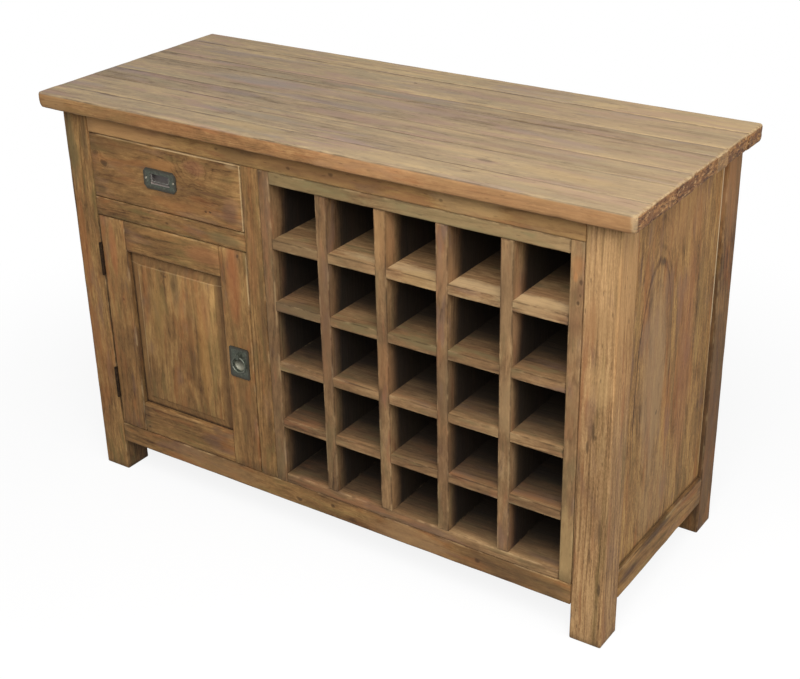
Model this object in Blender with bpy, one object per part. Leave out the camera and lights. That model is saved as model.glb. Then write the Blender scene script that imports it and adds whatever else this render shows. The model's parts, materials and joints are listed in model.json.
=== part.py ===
# Low sideboard in reclaimed teak: a plank top on four legs, a drawer over a panelled door
# on the left, and a grid of bottle cells on the right.
# Metres, +Z up, front towards -Y. The origin is on the floor under the middle of the top.

import math

import bmesh
import bpy
from mathutils import Matrix, Vector

# Top and legs
TOP_LENGTH = 1.213
TOP_DEPTH = 0.495
TOP_THICKNESS = 0.029
TOP_EASE = 0.0035
HEIGHT = 0.800
END_OVERHANG = 0.033
FRONT_OVERHANG = 0.028
BOARD_WIDTH_SHARES = (58, 84, 62, 93, 41, 91, 66)
LEG_SIDE = 0.060
LEG_EASE = 0.003

# Rails and stile of the carcass
RAIL_THICKNESS = 0.030
TOP_RAIL_HEIGHT = 0.040
BOTTOM_RAIL_HEIGHT = 0.042
BOTTOM_RAIL_RISE = 0.069
SIDE_RAIL_HEIGHT = 0.056
DRAWER_RAIL_HEIGHT = 0.0365
DRAWER_RAIL_DEPTH = 0.050
STILE_WIDTH = 0.038
RAIL_EASE = 0.0012

# Joinery
TENON_LENGTH = 0.022
TENON_THICKNESS = 0.010
TENON_SHOULDER = 0.009
GROOVE_DEPTH = 0.008
FIT_GAP = 0.0003
CUT_OVERRUN = 0.004

# Panels
SIDE_PANEL_THICKNESS = 0.015
SIDE_PANEL_RECESS = 0.0085
BACK_PANEL_THICKNESS = 0.008
FLOOR_THICKNESS = 0.015

# Left bay, between the left leg and the stile
BAY_WIDTH = 0.3635
DRAWER_OPENING_HEIGHT = 0.1265

# Bottle rack
RACK_SIDE_THICKNESS = 0.0235
RACK_TOP_THICKNESS = 0.023
RACK_FLOOR_THICKNESS = 0.019
DIVIDER_THICKNESS = 0.022
SHELF_THICKNESS = 0.0175
CELL_COLUMNS = 5
CELL_ROWS = 5

# Drawer box and its runners
DRAWER_REVEAL = 0.0015
DRAWER_FRONT_THICKNESS = 0.020
DRAWER_SIDE_THICKNESS = 0.012
DRAWER_SIDE_HEIGHT = 0.100
DRAWER_SIDE_CLEARANCE = 0.002
DRAWER_LIFT = 0.0005
DRAWER_END_CLEARANCE = 0.0005
DRAWER_BOTTOM_THICKNESS = 0.006
DRAWER_BOTTOM_RISE = 0.008
DRAWER_GROOVE_DEPTH = 0.006
TAIL_COUNT = 3
TAIL_LENGTH = 0.012
TAIL_ROOT_SHARE = 0.28
TAIL_TIP_SHARE = 0.36
RUNNER_HEIGHT = 0.020
RUNNER_LEDGE = 0.030
RUNNER_GUIDE_HEIGHT = 0.025

# Door
DOOR_REVEAL = 0.0015
DOOR_HINGE_GAP = 0.002
DOOR_THICKNESS = 0.022
DOOR_STILE_WIDTH = 0.064
DOOR_TOP_RAIL_HEIGHT = 0.061
DOOR_BOTTOM_RAIL_HEIGHT = 0.064
DOOR_TENON_THICKNESS = 0.008
PANEL_TONGUE_THICKNESS = 0.0064
PANEL_BEVEL_WIDTH = 0.022
PANEL_BEVEL_RISE = 0.006
PANEL_STEP = 0.0015
PANEL_FACE_SETBACK = 0.003

# Butt hinges
HINGE_HEIGHT = 0.066
UPPER_HINGE_DROP = 0.0895
LOWER_HINGE_RISE = 0.095
KNUCKLE_COUNT = 5
KNUCKLE_RADIUS = 0.003
HINGE_PIN_RADIUS = 0.0012
HINGE_CAP_RADIUS = 0.0024
HINGE_CAP_HEIGHT = 0.0012
LEAF_THICKNESS = 0.0012
LEAF_DEPTH = 0.018

# Drawer pull: clipped plate with a square cup, a wire bail and two screws
PLATE_THICKNESS = 0.0016
PULL_SHIFT = -0.009
PULL_WIDTH = 0.078
PULL_HEIGHT = 0.040
PULL_CLIP = 0.007
CUP_WIDTH = 0.046
CUP_HEIGHT = 0.020
CUP_DEPTH = 0.0085
CUP_WALL = 0.0015
BAIL_WIRE_RADIUS = 0.0016
BAIL_ARM_LENGTH = 0.012
BAIL_CLEARANCE = 0.0006
BAIL_PIVOT_DROP = 0.003
BAIL_PIVOT_SETBACK = 0.0021
BAIL_GRIP_BEND = 0.0035
SCREW_SPACING = 0.066
SCREW_HEAD_RADIUS = 0.0026
SCREW_HEAD_HEIGHT = 0.0013
SCREW_SHANK_RADIUS = 0.0014
SCREW_LENGTH = 0.012
SCREW_POINT = 0.003

# Door pull: clipped plate with a round cup, and a ring through its eye
RING_PLATE_WIDTH = 0.046
RING_PLATE_HEIGHT = 0.063
RING_PLATE_CLIP = 0.003
DISH_RADIUS = 0.0125
DISH_DEPTH = 0.007
DISH_DROP = 0.003
RING_RADIUS = 0.0155
RING_WIRE_RADIUS = 0.0015
RING_STAND = 0.0026
EYE_WIDTH = 0.007
EYE_HEIGHT = 0.011
EYE_BORE_RADIUS = 0.0022
EYE_WALL = 0.0012

# Stop block for the door
STOP_LENGTH = 0.040
STOP_DEPTH = 0.020
STOP_HEIGHT = 0.012
STOP_INSET = 0.045

# Smoothness of the round pieces, in sides or steps
KNUCKLE_SIDES = 16
WIRE_SIDES = 10
BORE_SIDES = 20
SCREW_SIDES = 12
RING_STEPS = 32
BOWL_STEPS = 6
BOWL_SIDES = 28
BEND_STEPS = 4
SMOOTH_ANGLE = math.radians(40)

# The axes by their place in a vector
X, Y, Z = range(3)

# Lines of the carcass that the pieces share
frame_left = -TOP_LENGTH / 2 + END_OVERHANG
frame_right = -frame_left
frame_front = -TOP_DEPTH / 2 + FRONT_OVERHANG
frame_back = TOP_DEPTH / 2
inner_left = frame_left + LEG_SIDE
inner_right = frame_right - LEG_SIDE
front_leg_back = frame_front + LEG_SIDE
rear_leg_front = frame_back - LEG_SIDE
top_underside = HEIGHT - TOP_THICKNESS
carcass_top = top_underside - FIT_GAP
top_rail_bottom = top_underside - TOP_RAIL_HEIGHT
bottom_rail_top = BOTTOM_RAIL_RISE + BOTTOM_RAIL_HEIGHT
side_rail_top = BOTTOM_RAIL_RISE + SIDE_RAIL_HEIGHT
drawer_rail_top = top_rail_bottom - DRAWER_OPENING_HEIGHT
drawer_rail_bottom = drawer_rail_top - DRAWER_RAIL_HEIGHT
stile_left = inner_left + BAY_WIDTH
stile_right = stile_left + STILE_WIDTH
rail_back = frame_front + RAIL_THICKNESS
rear_rail_front = frame_back - RAIL_THICKNESS
tenon_setback = (RAIL_THICKNESS - TENON_THICKNESS) / 2
front_tenon = (frame_front + tenon_setback, rail_back - tenon_setback)
rear_tenon = (rear_rail_front + tenon_setback, frame_back - tenon_setback)
back_panel_front = (rear_rail_front + frame_back - BACK_PANEL_THICKNESS) / 2
back_panel_back = back_panel_front + BACK_PANEL_THICKNESS
inside_back = back_panel_front - FIT_GAP

# Lines of the rack
rack_left = stile_right + FIT_GAP
rack_right = inner_right - FIT_GAP
rack_base = bottom_rail_top + FIT_GAP
rack_crown = top_rail_bottom - FIT_GAP
cells_left = rack_left + RACK_SIDE_THICKNESS
cells_right = rack_right - RACK_SIDE_THICKNESS
cells_bottom = rack_base + RACK_FLOOR_THICKNESS
cells_top = rack_crown - RACK_TOP_THICKNESS
cell_width = (cells_right - cells_left - (CELL_COLUMNS - 1) * DIVIDER_THICKNESS) / CELL_COLUMNS
cell_height = (cells_top - cells_bottom - (CELL_ROWS - 1) * SHELF_THICKNESS) / CELL_ROWS
lap_line = (frame_front + inside_back) / 2

# Lines of the drawer
drawer_left = inner_left + DRAWER_REVEAL
drawer_right = stile_left - DRAWER_REVEAL
drawer_bottom_edge = drawer_rail_top + DRAWER_REVEAL
drawer_top_edge = top_rail_bottom - DRAWER_REVEAL
drawer_front_back = frame_front + DRAWER_FRONT_THICKNESS
box_left = inner_left + DRAWER_SIDE_CLEARANCE
box_right = stile_left - DRAWER_SIDE_CLEARANCE
box_base = drawer_rail_top + DRAWER_LIFT
box_top = box_base + DRAWER_SIDE_HEIGHT
box_end = inside_back - DRAWER_END_CLEARANCE
box_inner_left = box_left + DRAWER_SIDE_THICKNESS
box_inner_right = box_right - DRAWER_SIDE_THICKNESS
tray_bottom = box_base + DRAWER_BOTTOM_RISE
tray_top = tray_bottom + DRAWER_BOTTOM_THICKNESS
tray_tongue = (box_inner_left + 3 * FIT_GAP, box_inner_right - 3 * FIT_GAP)

# Lines of the door
door_left = inner_left + DOOR_HINGE_GAP
door_right = stile_left - DOOR_REVEAL
door_base = bottom_rail_top + DOOR_REVEAL
door_top = drawer_rail_bottom - DOOR_REVEAL
door_back = frame_front + DOOR_THICKNESS
door_opening_left = door_left + DOOR_STILE_WIDTH
door_opening_right = door_right - DOOR_STILE_WIDTH
door_opening_base = door_base + DOOR_BOTTOM_RAIL_HEIGHT
door_opening_top = door_top - DOOR_TOP_RAIL_HEIGHT
door_tenon_setback = (DOOR_THICKNESS - DOOR_TENON_THICKNESS) / 2
door_tenon = (frame_front + door_tenon_setback, door_back - door_tenon_setback)
tongue_front = frame_front + PANEL_FACE_SETBACK + PANEL_STEP + PANEL_BEVEL_RISE
tongue_back = tongue_front + PANEL_TONGUE_THICKNESS
hinge_x = inner_left + DOOR_HINGE_GAP / 2
hinge_y = frame_front - KNUCKLE_RADIUS - FIT_GAP
upper_hinge_base = door_top - UPPER_HINGE_DROP - HINGE_HEIGHT / 2
lower_hinge_base = door_base + LOWER_HINGE_RISE - HINGE_HEIGHT / 2
leaf_back = frame_front + LEAF_DEPTH
knuckle_bore_radius = HINGE_PIN_RADIUS + FIT_GAP

# Places of the two pulls
plate_back = frame_front - FIT_GAP
plate_front = plate_back - PLATE_THICKNESS
pull_x = (drawer_left + drawer_right) / 2 + PULL_SHIFT
pull_z = (drawer_bottom_edge + drawer_top_edge) / 2
cup_floor = plate_front + CUP_DEPTH
bail_pivot_y = plate_front + BAIL_PIVOT_SETBACK
bail_pivot_z = pull_z + CUP_HEIGHT / 2 - BAIL_PIVOT_DROP
ring_x = door_right - DOOR_STILE_WIDTH / 2
ring_plate_z = (door_base + door_top) / 2
dish_z = ring_plate_z - DISH_DROP
ring_y = plate_front - RING_STAND
ring_pivot_z = dish_z + RING_RADIUS

# Finishes: colour, roughness, metallic
FINISHES = {
    "top_teak": ((0.34, 0.24, 0.15), 0.62, 0.0),
    "frame_teak": ((0.27, 0.165, 0.085), 0.60, 0.0),
    "panel_teak": ((0.30, 0.18, 0.09), 0.60, 0.0),
    "rack_teak": ((0.29, 0.185, 0.10), 0.62, 0.0),
    "inner_teak": ((0.24, 0.15, 0.085), 0.70, 0.0),
    "pewter": ((0.11, 0.115, 0.105), 0.48, 0.9),
    "dark_iron": ((0.04, 0.035, 0.03), 0.55, 0.9),
    "bright_steel": ((0.55, 0.54, 0.50), 0.30, 1.0),
}


def clear_scene():
    for obj in list(bpy.data.objects):
        bpy.data.objects.remove(obj, do_unlink=True)


def new_finish(name, finish):
    colour, roughness, metallic = FINISHES[finish]
    material = bpy.data.materials.new(name + "_finish")
    material.use_nodes = True
    shader = material.node_tree.nodes["Principled BSDF"]
    shader.inputs["Base Color"].default_value = (*colour, 1)
    shader.inputs["Roughness"].default_value = roughness
    shader.inputs["Metallic"].default_value = metallic
    return material


def place(obj, spot, holder):
    obj.location = spot
    if holder:
        obj.parent = holder
        obj.location = spot - holder.location


def add_pivot(name, spot, holder=None):
    pivot = bpy.data.objects.new(name, None)
    bpy.context.scene.collection.objects.link(pivot)
    place(pivot, Vector(spot), holder)
    return pivot


def middle_of(bm):
    low = Vector([min(v.co[i] for v in bm.verts) for i in range(3)])
    high = Vector([max(v.co[i] for v in bm.verts) for i in range(3)])
    return (low + high) / 2


def make_object(name, bm, spot, holder):
    bmesh.ops.recalc_face_normals(bm, faces=bm.faces)
    bmesh.ops.translate(bm, vec=-spot, verts=bm.verts)
    mesh = bpy.data.meshes.new(name)
    bm.to_mesh(mesh)
    bm.free()
    obj = bpy.data.objects.new(name, mesh)
    bpy.context.scene.collection.objects.link(obj)
    place(obj, spot, holder)
    return obj


# A piece is built in place in a bmesh, then gets its own origin, by default its middle
def add_piece(name, bm, finish, holder=None, origin=None, smooth=False):
    spot = Vector(origin) if origin else middle_of(bm)
    obj = make_object(name, bm, spot, holder)
    obj.data.materials.append(new_finish(name, finish))
    if smooth:
        obj.data.shade_smooth()
        obj.data.set_sharp_from_angle(angle=SMOOTH_ANGLE)
    return obj


# Cuts or joins a piece with shapes that are kept as a hidden helper
def combine(piece, bm, operation):
    helper = make_object(piece.name + "_" + operation.lower(), bm, Vector(), piece.parent)
    helper.hide_render = True
    helper.display_type = "WIRE"
    modifier = piece.modifiers.new(operation.title(), "BOOLEAN")
    modifier.operation = operation
    modifier.object = helper


def box_into(bm, low, high):
    low = Vector(low)
    high = Vector(high)
    verts = bmesh.ops.create_cube(bm, size=1)["verts"]
    bmesh.ops.scale(bm, vec=high - low, verts=verts)
    bmesh.ops.translate(bm, vec=(low + high) / 2, verts=verts)
    return verts


# The outline's pairs hold the two coordinates other than the axis, in X, Y, Z order
def prism_into(bm, outline, axis, start, end):
    verts = []
    for pair in outline:
        point = list(pair)
        point.insert(axis, start)
        verts.append(bm.verts.new(point))
    face = bm.faces.new(verts)
    grown = bmesh.ops.extrude_face_region(bm, geom=[face])["geom"]
    shift = Vector()
    shift[axis] = end - start
    tip = [item for item in grown if isinstance(item, bmesh.types.BMVert)]
    bmesh.ops.translate(bm, vec=shift, verts=tip)


def turn_to(axis):
    if axis == X:
        return Matrix.Rotation(math.pi / 2, 4, "Y")
    if axis == Y:
        return Matrix.Rotation(math.pi / 2, 4, "X")
    return Matrix.Identity(4)


def cylinder_into(bm, centre, axis, radius, length, sides):
    matrix = Matrix.Translation(centre) @ turn_to(axis)
    bmesh.ops.create_cone(
        bm, cap_ends=True, segments=sides, radius1=radius, radius2=radius, depth=length, matrix=matrix
    )


# The profile's pairs are radius and height; it is turned round a line through the centre
def turned_into(bm, profile, centre, axis, sides):
    verts = [bm.verts.new((radius, 0, height)) for radius, height in profile]
    edges = [bm.edges.new(pair) for pair in zip(verts, verts[1:])]
    bmesh.ops.spin(
        bm, geom=verts + edges, axis=(0, 0, 1), angle=math.tau, steps=sides, use_merge=True
    )
    bmesh.ops.remove_doubles(bm, verts=bm.verts, dist=FIT_GAP / 10)
    bmesh.ops.transform(bm, matrix=Matrix.Translation(centre) @ turn_to(axis), verts=bm.verts)


def ease(bm, edges, radius, segments=2):
    bmesh.ops.bevel(
        bm,
        geom=edges,
        offset=radius,
        segments=segments,
        profile=0.5,
        affect="EDGES",
        material=-1,
        clamp_overlap=True,
    )


def eased_box(low, high, radius, segments=1):
    bm = bmesh.new()
    box_into(bm, low, high)
    ease(bm, list(bm.edges), radius, segments)
    return bm


# Grows a tenon from the end face of a bar: the cheeks are the tenon's limits on the other two axes
def grow_tenon(bm, axis, side, cheeks, length):
    end = max(bm.faces, key=lambda face: side * face.calc_center_median()[axis])
    centre = end.calc_center_median()
    shoulder = bmesh.ops.extrude_discrete_faces(bm, faces=[end])["faces"][0]
    for vert in shoulder.verts:
        for index, (low, high) in cheeks.items():
            vert.co[index] = high if vert.co[index] > centre[index] else low
    tip = bmesh.ops.extrude_discrete_faces(bm, faces=[shoulder])["faces"][0]
    for vert in tip.verts:
        vert.co[axis] += side * length


def grown(span, by):
    return (span[0] - by, span[1] + by)


def inset(span, by):
    return (span[0] + by, span[1] - by)


# A mortise is cut from the face at the given place, inwards along the axis
def mortise_into(bm, axis, face, side, spans, depth):
    low = Vector()
    high = Vector()
    for index, span in spans.items():
        low[index], high[index] = grown(span, FIT_GAP)
    ends = (face + side * CUT_OVERRUN, face - side * (depth + FIT_GAP))
    low[axis] = min(ends)
    high[axis] = max(ends)
    box_into(bm, low, high)


def mirrored(pair):
    return (-pair[1], -pair[0])


# Spans of the tenons, grooves and panels, read by the pieces on both sides of each joint
front_top_tenon = inset((top_rail_bottom, carcass_top), TENON_SHOULDER)
front_bottom_tenon = inset((BOTTOM_RAIL_RISE, bottom_rail_top), TENON_SHOULDER)
drawer_rail_tenon = inset((drawer_rail_bottom, drawer_rail_top), TENON_SHOULDER)
stile_tenon = inset((stile_left, stile_right), TENON_SHOULDER)
grooved_shoulder = GROOVE_DEPTH + TENON_SHOULDER
rear_top_tenon = (top_rail_bottom + grooved_shoulder, carcass_top - TENON_SHOULDER)
rear_bottom_tenon = (BOTTOM_RAIL_RISE + TENON_SHOULDER, bottom_rail_top - grooved_shoulder)
side_tenon = (BOTTOM_RAIL_RISE + TENON_SHOULDER, side_rail_top - grooved_shoulder)
left_side_tenon = (frame_left + tenon_setback, frame_left + RAIL_THICKNESS - tenon_setback)
left_panel = (frame_left + SIDE_PANEL_RECESS, frame_left + SIDE_PANEL_RECESS + SIDE_PANEL_THICKNESS)
side_panel_base = side_rail_top - GROOVE_DEPTH
back_panel_base = bottom_rail_top - GROOVE_DEPTH
back_panel_crown = top_rail_bottom + GROOVE_DEPTH
back_panel_span = (back_panel_front, back_panel_back)
tongue_span = (tongue_front, tongue_back)
door_bottom_tenon = (door_base + TENON_SHOULDER, door_opening_base - grooved_shoulder)
door_top_tenon = (door_opening_top + grooved_shoulder, door_top - TENON_SHOULDER)


def build_top():
    total = sum(BOARD_WIDTH_SHARES)
    front = -TOP_DEPTH / 2
    last = len(BOARD_WIDTH_SHARES)
    for number, share in enumerate(BOARD_WIDTH_SHARES, 1):
        width = TOP_DEPTH * share / total
        near = front if number == 1 else front + FIT_GAP / 2
        far = front + width if number == last else front + width - FIT_GAP / 2
        bm = bmesh.new()
        box_into(bm, (-TOP_LENGTH / 2, near, top_underside), (TOP_LENGTH / 2, far, HEIGHT))
        outer = []
        for edge in bm.edges:
            middle = (edge.verts[0].co + edge.verts[1].co) / 2
            at_end = abs(middle.x) > TOP_LENGTH / 2 - TOP_THICKNESS
            at_front = number == 1 and middle.y < near + FIT_GAP
            at_back = number == last and middle.y > far - FIT_GAP
            upright = abs(edge.verts[0].co.z - edge.verts[1].co.z) > FIT_GAP
            if upright and not (at_front or at_back):
                continue
            if at_end or at_front or at_back:
                outer.append(edge)
        ease(bm, outer, TOP_EASE)
        add_piece("top_board_%d" % number, bm, "top_teak")
        front += width


def build_leg(name, left, front):
    right = left + LEG_SIDE
    back = front + LEG_SIDE
    at_left = left < 0
    at_front = front < 0
    bm = bmesh.new()
    box_into(bm, (left, front, 0), (right, back, carcass_top))
    low_edges = [edge for edge in bm.edges if any(vert.co.z < LEG_SIDE for vert in edge.verts)]
    ease(bm, low_edges, LEG_EASE)
    leg = add_piece(name, bm, "frame_teak")

    cuts = bmesh.new()
    inner_face, side = (right, 1) if at_left else (left, -1)
    if at_front:
        rails = [(front_tenon, front_top_tenon), (front_tenon, front_bottom_tenon)]
        if at_left:
            rails.append((front_tenon, drawer_rail_tenon))
    else:
        rails = [(rear_tenon, rear_top_tenon), (rear_tenon, rear_bottom_tenon)]
        panel = {Y: back_panel_span, Z: (back_panel_base, back_panel_crown)}
        mortise_into(cuts, X, inner_face, side, panel, GROOVE_DEPTH)
    for cheeks, height in rails:
        mortise_into(cuts, X, inner_face, side, {Y: cheeks, Z: height}, TENON_LENGTH)

    depth_face, depth_side = (back, 1) if at_front else (front, -1)
    cheeks = left_side_tenon if at_left else mirrored(left_side_tenon)
    panel = left_panel if at_left else mirrored(left_panel)
    mortise_into(cuts, Y, depth_face, depth_side, {X: cheeks, Z: side_tenon}, TENON_LENGTH)
    groove = {X: panel, Z: (side_panel_base, carcass_top + CUT_OVERRUN)}
    mortise_into(cuts, Y, depth_face, depth_side, groove, GROOVE_DEPTH)
    if at_left and at_front:
        for base in (upper_hinge_base, lower_hinge_base):
            leaf_recess_into(cuts, base, -1)
    combine(leg, cuts, "DIFFERENCE")


def build_legs():
    build_leg("leg_front_left", frame_left, frame_front)
    build_leg("leg_front_right", inner_right, frame_front)
    build_leg("leg_rear_left", frame_left, rear_leg_front)
    build_leg("leg_rear_right", inner_right, rear_leg_front)


def long_rail(low, high, cheeks):
    bm = eased_box(low, high, RAIL_EASE)
    for side in (-1, 1):
        grow_tenon(bm, X, side, cheeks, TENON_LENGTH)
    return bm


def build_front_rails():
    ends = (inner_left + FIT_GAP, inner_right - FIT_GAP)
    bm = long_rail(
        (ends[0], frame_front, top_rail_bottom),
        (ends[1], rail_back, carcass_top),
        {Y: front_tenon, Z: front_top_tenon},
    )
    rail = add_piece("front_top_rail", bm, "frame_teak")
    cuts = bmesh.new()
    mortise_into(cuts, Z, top_rail_bottom, -1, {X: stile_tenon, Y: front_tenon}, TENON_LENGTH)
    combine(rail, cuts, "DIFFERENCE")

    bm = long_rail(
        (ends[0], frame_front, BOTTOM_RAIL_RISE),
        (ends[1], rail_back, bottom_rail_top),
        {Y: front_tenon, Z: front_bottom_tenon},
    )
    rail = add_piece("front_bottom_rail", bm, "frame_teak")
    cuts = bmesh.new()
    mortise_into(cuts, Z, bottom_rail_top, 1, {X: stile_tenon, Y: front_tenon}, TENON_LENGTH)
    combine(rail, cuts, "DIFFERENCE")


def build_rear_rails():
    ends = (inner_left + FIT_GAP, inner_right - FIT_GAP)
    groove = {X: grown(ends, CUT_OVERRUN), Y: back_panel_span}
    bm = long_rail(
        (ends[0], rear_rail_front, top_rail_bottom),
        (ends[1], frame_back, carcass_top),
        {Y: rear_tenon, Z: rear_top_tenon},
    )
    rail = add_piece("rear_top_rail", bm, "frame_teak")
    cuts = bmesh.new()
    mortise_into(cuts, Z, top_rail_bottom, -1, groove, GROOVE_DEPTH)
    combine(rail, cuts, "DIFFERENCE")

    bm = long_rail(
        (ends[0], rear_rail_front, BOTTOM_RAIL_RISE),
        (ends[1], frame_back, bottom_rail_top),
        {Y: rear_tenon, Z: rear_bottom_tenon},
    )
    rail = add_piece("rear_bottom_rail", bm, "frame_teak")
    cuts = bmesh.new()
    mortise_into(cuts, Z, bottom_rail_top, 1, groove, GROOVE_DEPTH)
    combine(rail, cuts, "DIFFERENCE")


def build_drawer_rail():
    bm = long_rail(
        (inner_left + FIT_GAP, frame_front, drawer_rail_bottom),
        (stile_left - FIT_GAP, frame_front + DRAWER_RAIL_DEPTH, drawer_rail_top),
        {Y: front_tenon, Z: drawer_rail_tenon},
    )
    add_piece("drawer_rail", bm, "frame_teak")


def build_middle_stile():
    bm = eased_box(
        (stile_left, frame_front, bottom_rail_top + FIT_GAP),
        (stile_right, rail_back, top_rail_bottom - FIT_GAP),
        RAIL_EASE,
    )
    for side in (-1, 1):
        grow_tenon(bm, Z, side, {X: stile_tenon, Y: front_tenon}, TENON_LENGTH)
    stile = add_piece("middle_stile", bm, "frame_teak")
    cuts = bmesh.new()
    mortise_into(cuts, X, stile_left, -1, {Y: front_tenon, Z: drawer_rail_tenon}, TENON_LENGTH)
    combine(stile, cuts, "DIFFERENCE")


def build_side(word, left, panel, cheeks):
    ends = (front_leg_back + FIT_GAP, rear_leg_front - FIT_GAP)
    right = left + RAIL_THICKNESS
    bm = eased_box((left, ends[0], BOTTOM_RAIL_RISE), (right, ends[1], side_rail_top), RAIL_EASE)
    for side in (-1, 1):
        grow_tenon(bm, Y, side, {X: cheeks, Z: side_tenon}, TENON_LENGTH)
    rail = add_piece("side_rail_" + word, bm, "frame_teak")
    cuts = bmesh.new()
    mortise_into(cuts, Z, side_rail_top, 1, {X: panel, Y: grown(ends, CUT_OVERRUN)}, GROOVE_DEPTH)
    combine(rail, cuts, "DIFFERENCE")

    bm = bmesh.new()
    box_into(
        bm,
        (panel[0], front_leg_back - GROOVE_DEPTH, side_panel_base),
        (panel[1], rear_leg_front + GROOVE_DEPTH, carcass_top),
    )
    add_piece("side_panel_" + word, bm, "panel_teak")


def build_sides():
    build_side("left", frame_left, left_panel, left_side_tenon)
    build_side("right", frame_right - RAIL_THICKNESS, mirrored(left_panel), mirrored(left_side_tenon))


def build_back_panel():
    bm = bmesh.new()
    box_into(
        bm,
        (inner_left - GROOVE_DEPTH, back_panel_front, back_panel_base),
        (inner_right + GROOVE_DEPTH, back_panel_back, back_panel_crown),
    )
    add_piece("back_panel", bm, "inner_teak")


# The floor lies on the bottom rails and is notched round the legs and the stile
def build_cupboard_floor():
    rail_side = frame_left + RAIL_THICKNESS + FIT_GAP
    leg_side = inner_left + FIT_GAP
    stile_side = stile_left - FIT_GAP
    front = door_back + FIT_GAP
    behind_leg = front_leg_back + FIT_GAP
    behind_stile = rail_back + FIT_GAP
    before_leg = rear_leg_front - FIT_GAP
    outline = [
        (leg_side, front),
        (stile_side, front),
        (stile_side, behind_stile),
        (stile_right, behind_stile),
        (stile_right, inside_back),
        (leg_side, inside_back),
        (leg_side, before_leg),
        (rail_side, before_leg),
        (rail_side, behind_leg),
        (leg_side, behind_leg),
    ]
    bm = bmesh.new()
    prism_into(bm, outline, Z, bottom_rail_top + FIT_GAP, bottom_rail_top + FIT_GAP + FLOOR_THICKNESS)
    add_piece("cupboard_floor", bm, "inner_teak")


def build_rack_frame():
    for word, left in (("left", rack_left), ("right", rack_right - RACK_SIDE_THICKNESS)):
        bm = eased_box(
            (left, frame_front, rack_base), (left + RACK_SIDE_THICKNESS, inside_back, rack_crown), RAIL_EASE
        )
        add_piece("rack_side_" + word, bm, "frame_teak")
    ends = (cells_left + FIT_GAP, cells_right - FIT_GAP)
    bm = eased_box((ends[0], frame_front, rack_base), (ends[1], inside_back, cells_bottom), RAIL_EASE)
    add_piece("rack_floor", bm, "rack_teak")
    bm = eased_box((ends[0], frame_front, cells_top), (ends[1], inside_back, rack_crown), RAIL_EASE)
    add_piece("rack_top", bm, "frame_teak")


# A board with slots from its open edge to the lap line
def slotted_outline(closed, opened, low, high, centres, half_slot):
    stop = lap_line + math.copysign(FIT_GAP / 2, closed - opened)
    outline = [(closed, low), (opened, low)]
    for centre in centres:
        outline.append((opened, centre - half_slot))
        outline.append((stop, centre - half_slot))
        outline.append((stop, centre + half_slot))
        outline.append((opened, centre + half_slot))
    outline.append((opened, high))
    outline.append((closed, high))
    return outline


# Middles of the boards that part a row of cells
def parting_places(start, cell, board, count):
    return [start + number * (cell + board) - board / 2 for number in range(1, count)]


def build_rack_grid():
    columns = parting_places(cells_left, cell_width, DIVIDER_THICKNESS, CELL_COLUMNS)
    rows = parting_places(cells_bottom, cell_height, SHELF_THICKNESS, CELL_ROWS)
    shelf_slot = DIVIDER_THICKNESS / 2 + FIT_GAP
    divider_slot = SHELF_THICKNESS / 2 + FIT_GAP
    upright = slotted_outline(
        frame_front, inside_back, cells_bottom + FIT_GAP, cells_top - FIT_GAP, rows, divider_slot
    )
    for number, centre in enumerate(columns, 1):
        bm = bmesh.new()
        prism_into(bm, upright, X, centre - DIVIDER_THICKNESS / 2, centre + DIVIDER_THICKNESS / 2)
        add_piece("rack_divider_%d" % number, bm, "rack_teak")
    ends = (cells_left + FIT_GAP, cells_right - FIT_GAP)
    flat = slotted_outline(inside_back, frame_front, *ends, columns, shelf_slot)
    plan = [(along, depth) for depth, along in flat]
    for number, centre in enumerate(rows, 1):
        bm = bmesh.new()
        prism_into(bm, plan, Z, centre - SHELF_THICKNESS / 2, centre + SHELF_THICKNESS / 2)
        add_piece("rack_shelf_%d" % number, bm, "rack_teak")


def build_runners():
    front = frame_front + DRAWER_RAIL_DEPTH + FIT_GAP
    base = drawer_rail_top - RUNNER_HEIGHT
    bm = eased_box(
        (inner_left + FIT_GAP, front, base),
        (inner_left + RUNNER_LEDGE, inside_back, drawer_rail_top),
        RAIL_EASE,
    )
    add_piece("drawer_runner_left", bm, "inner_teak")
    guide_top = drawer_rail_top + RUNNER_GUIDE_HEIGHT
    outline = [
        (stile_left - RUNNER_LEDGE, base),
        (stile_right, base),
        (stile_right, guide_top),
        (stile_left, guide_top),
        (stile_left, drawer_rail_top),
        (stile_left - RUNNER_LEDGE, drawer_rail_top),
    ]
    bm = bmesh.new()
    prism_into(bm, outline, Y, front, inside_back)
    add_piece("drawer_runner_right", bm, "inner_teak")


# Height of each dovetail's middle on the drawer side
def tail_places():
    pitch = DRAWER_SIDE_HEIGHT / TAIL_COUNT
    return [box_base + (number + 0.5) * pitch for number in range(TAIL_COUNT)]


def tail_outline(middle, slack):
    pitch = DRAWER_SIDE_HEIGHT / TAIL_COUNT
    root = pitch * TAIL_ROOT_SHARE + slack
    tip = pitch * TAIL_TIP_SHARE + slack
    reach = drawer_front_back - TAIL_LENGTH - slack
    heel = drawer_front_back + slack
    return [(heel, middle - root), (reach, middle - tip), (reach, middle + tip), (heel, middle + root)]


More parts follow.
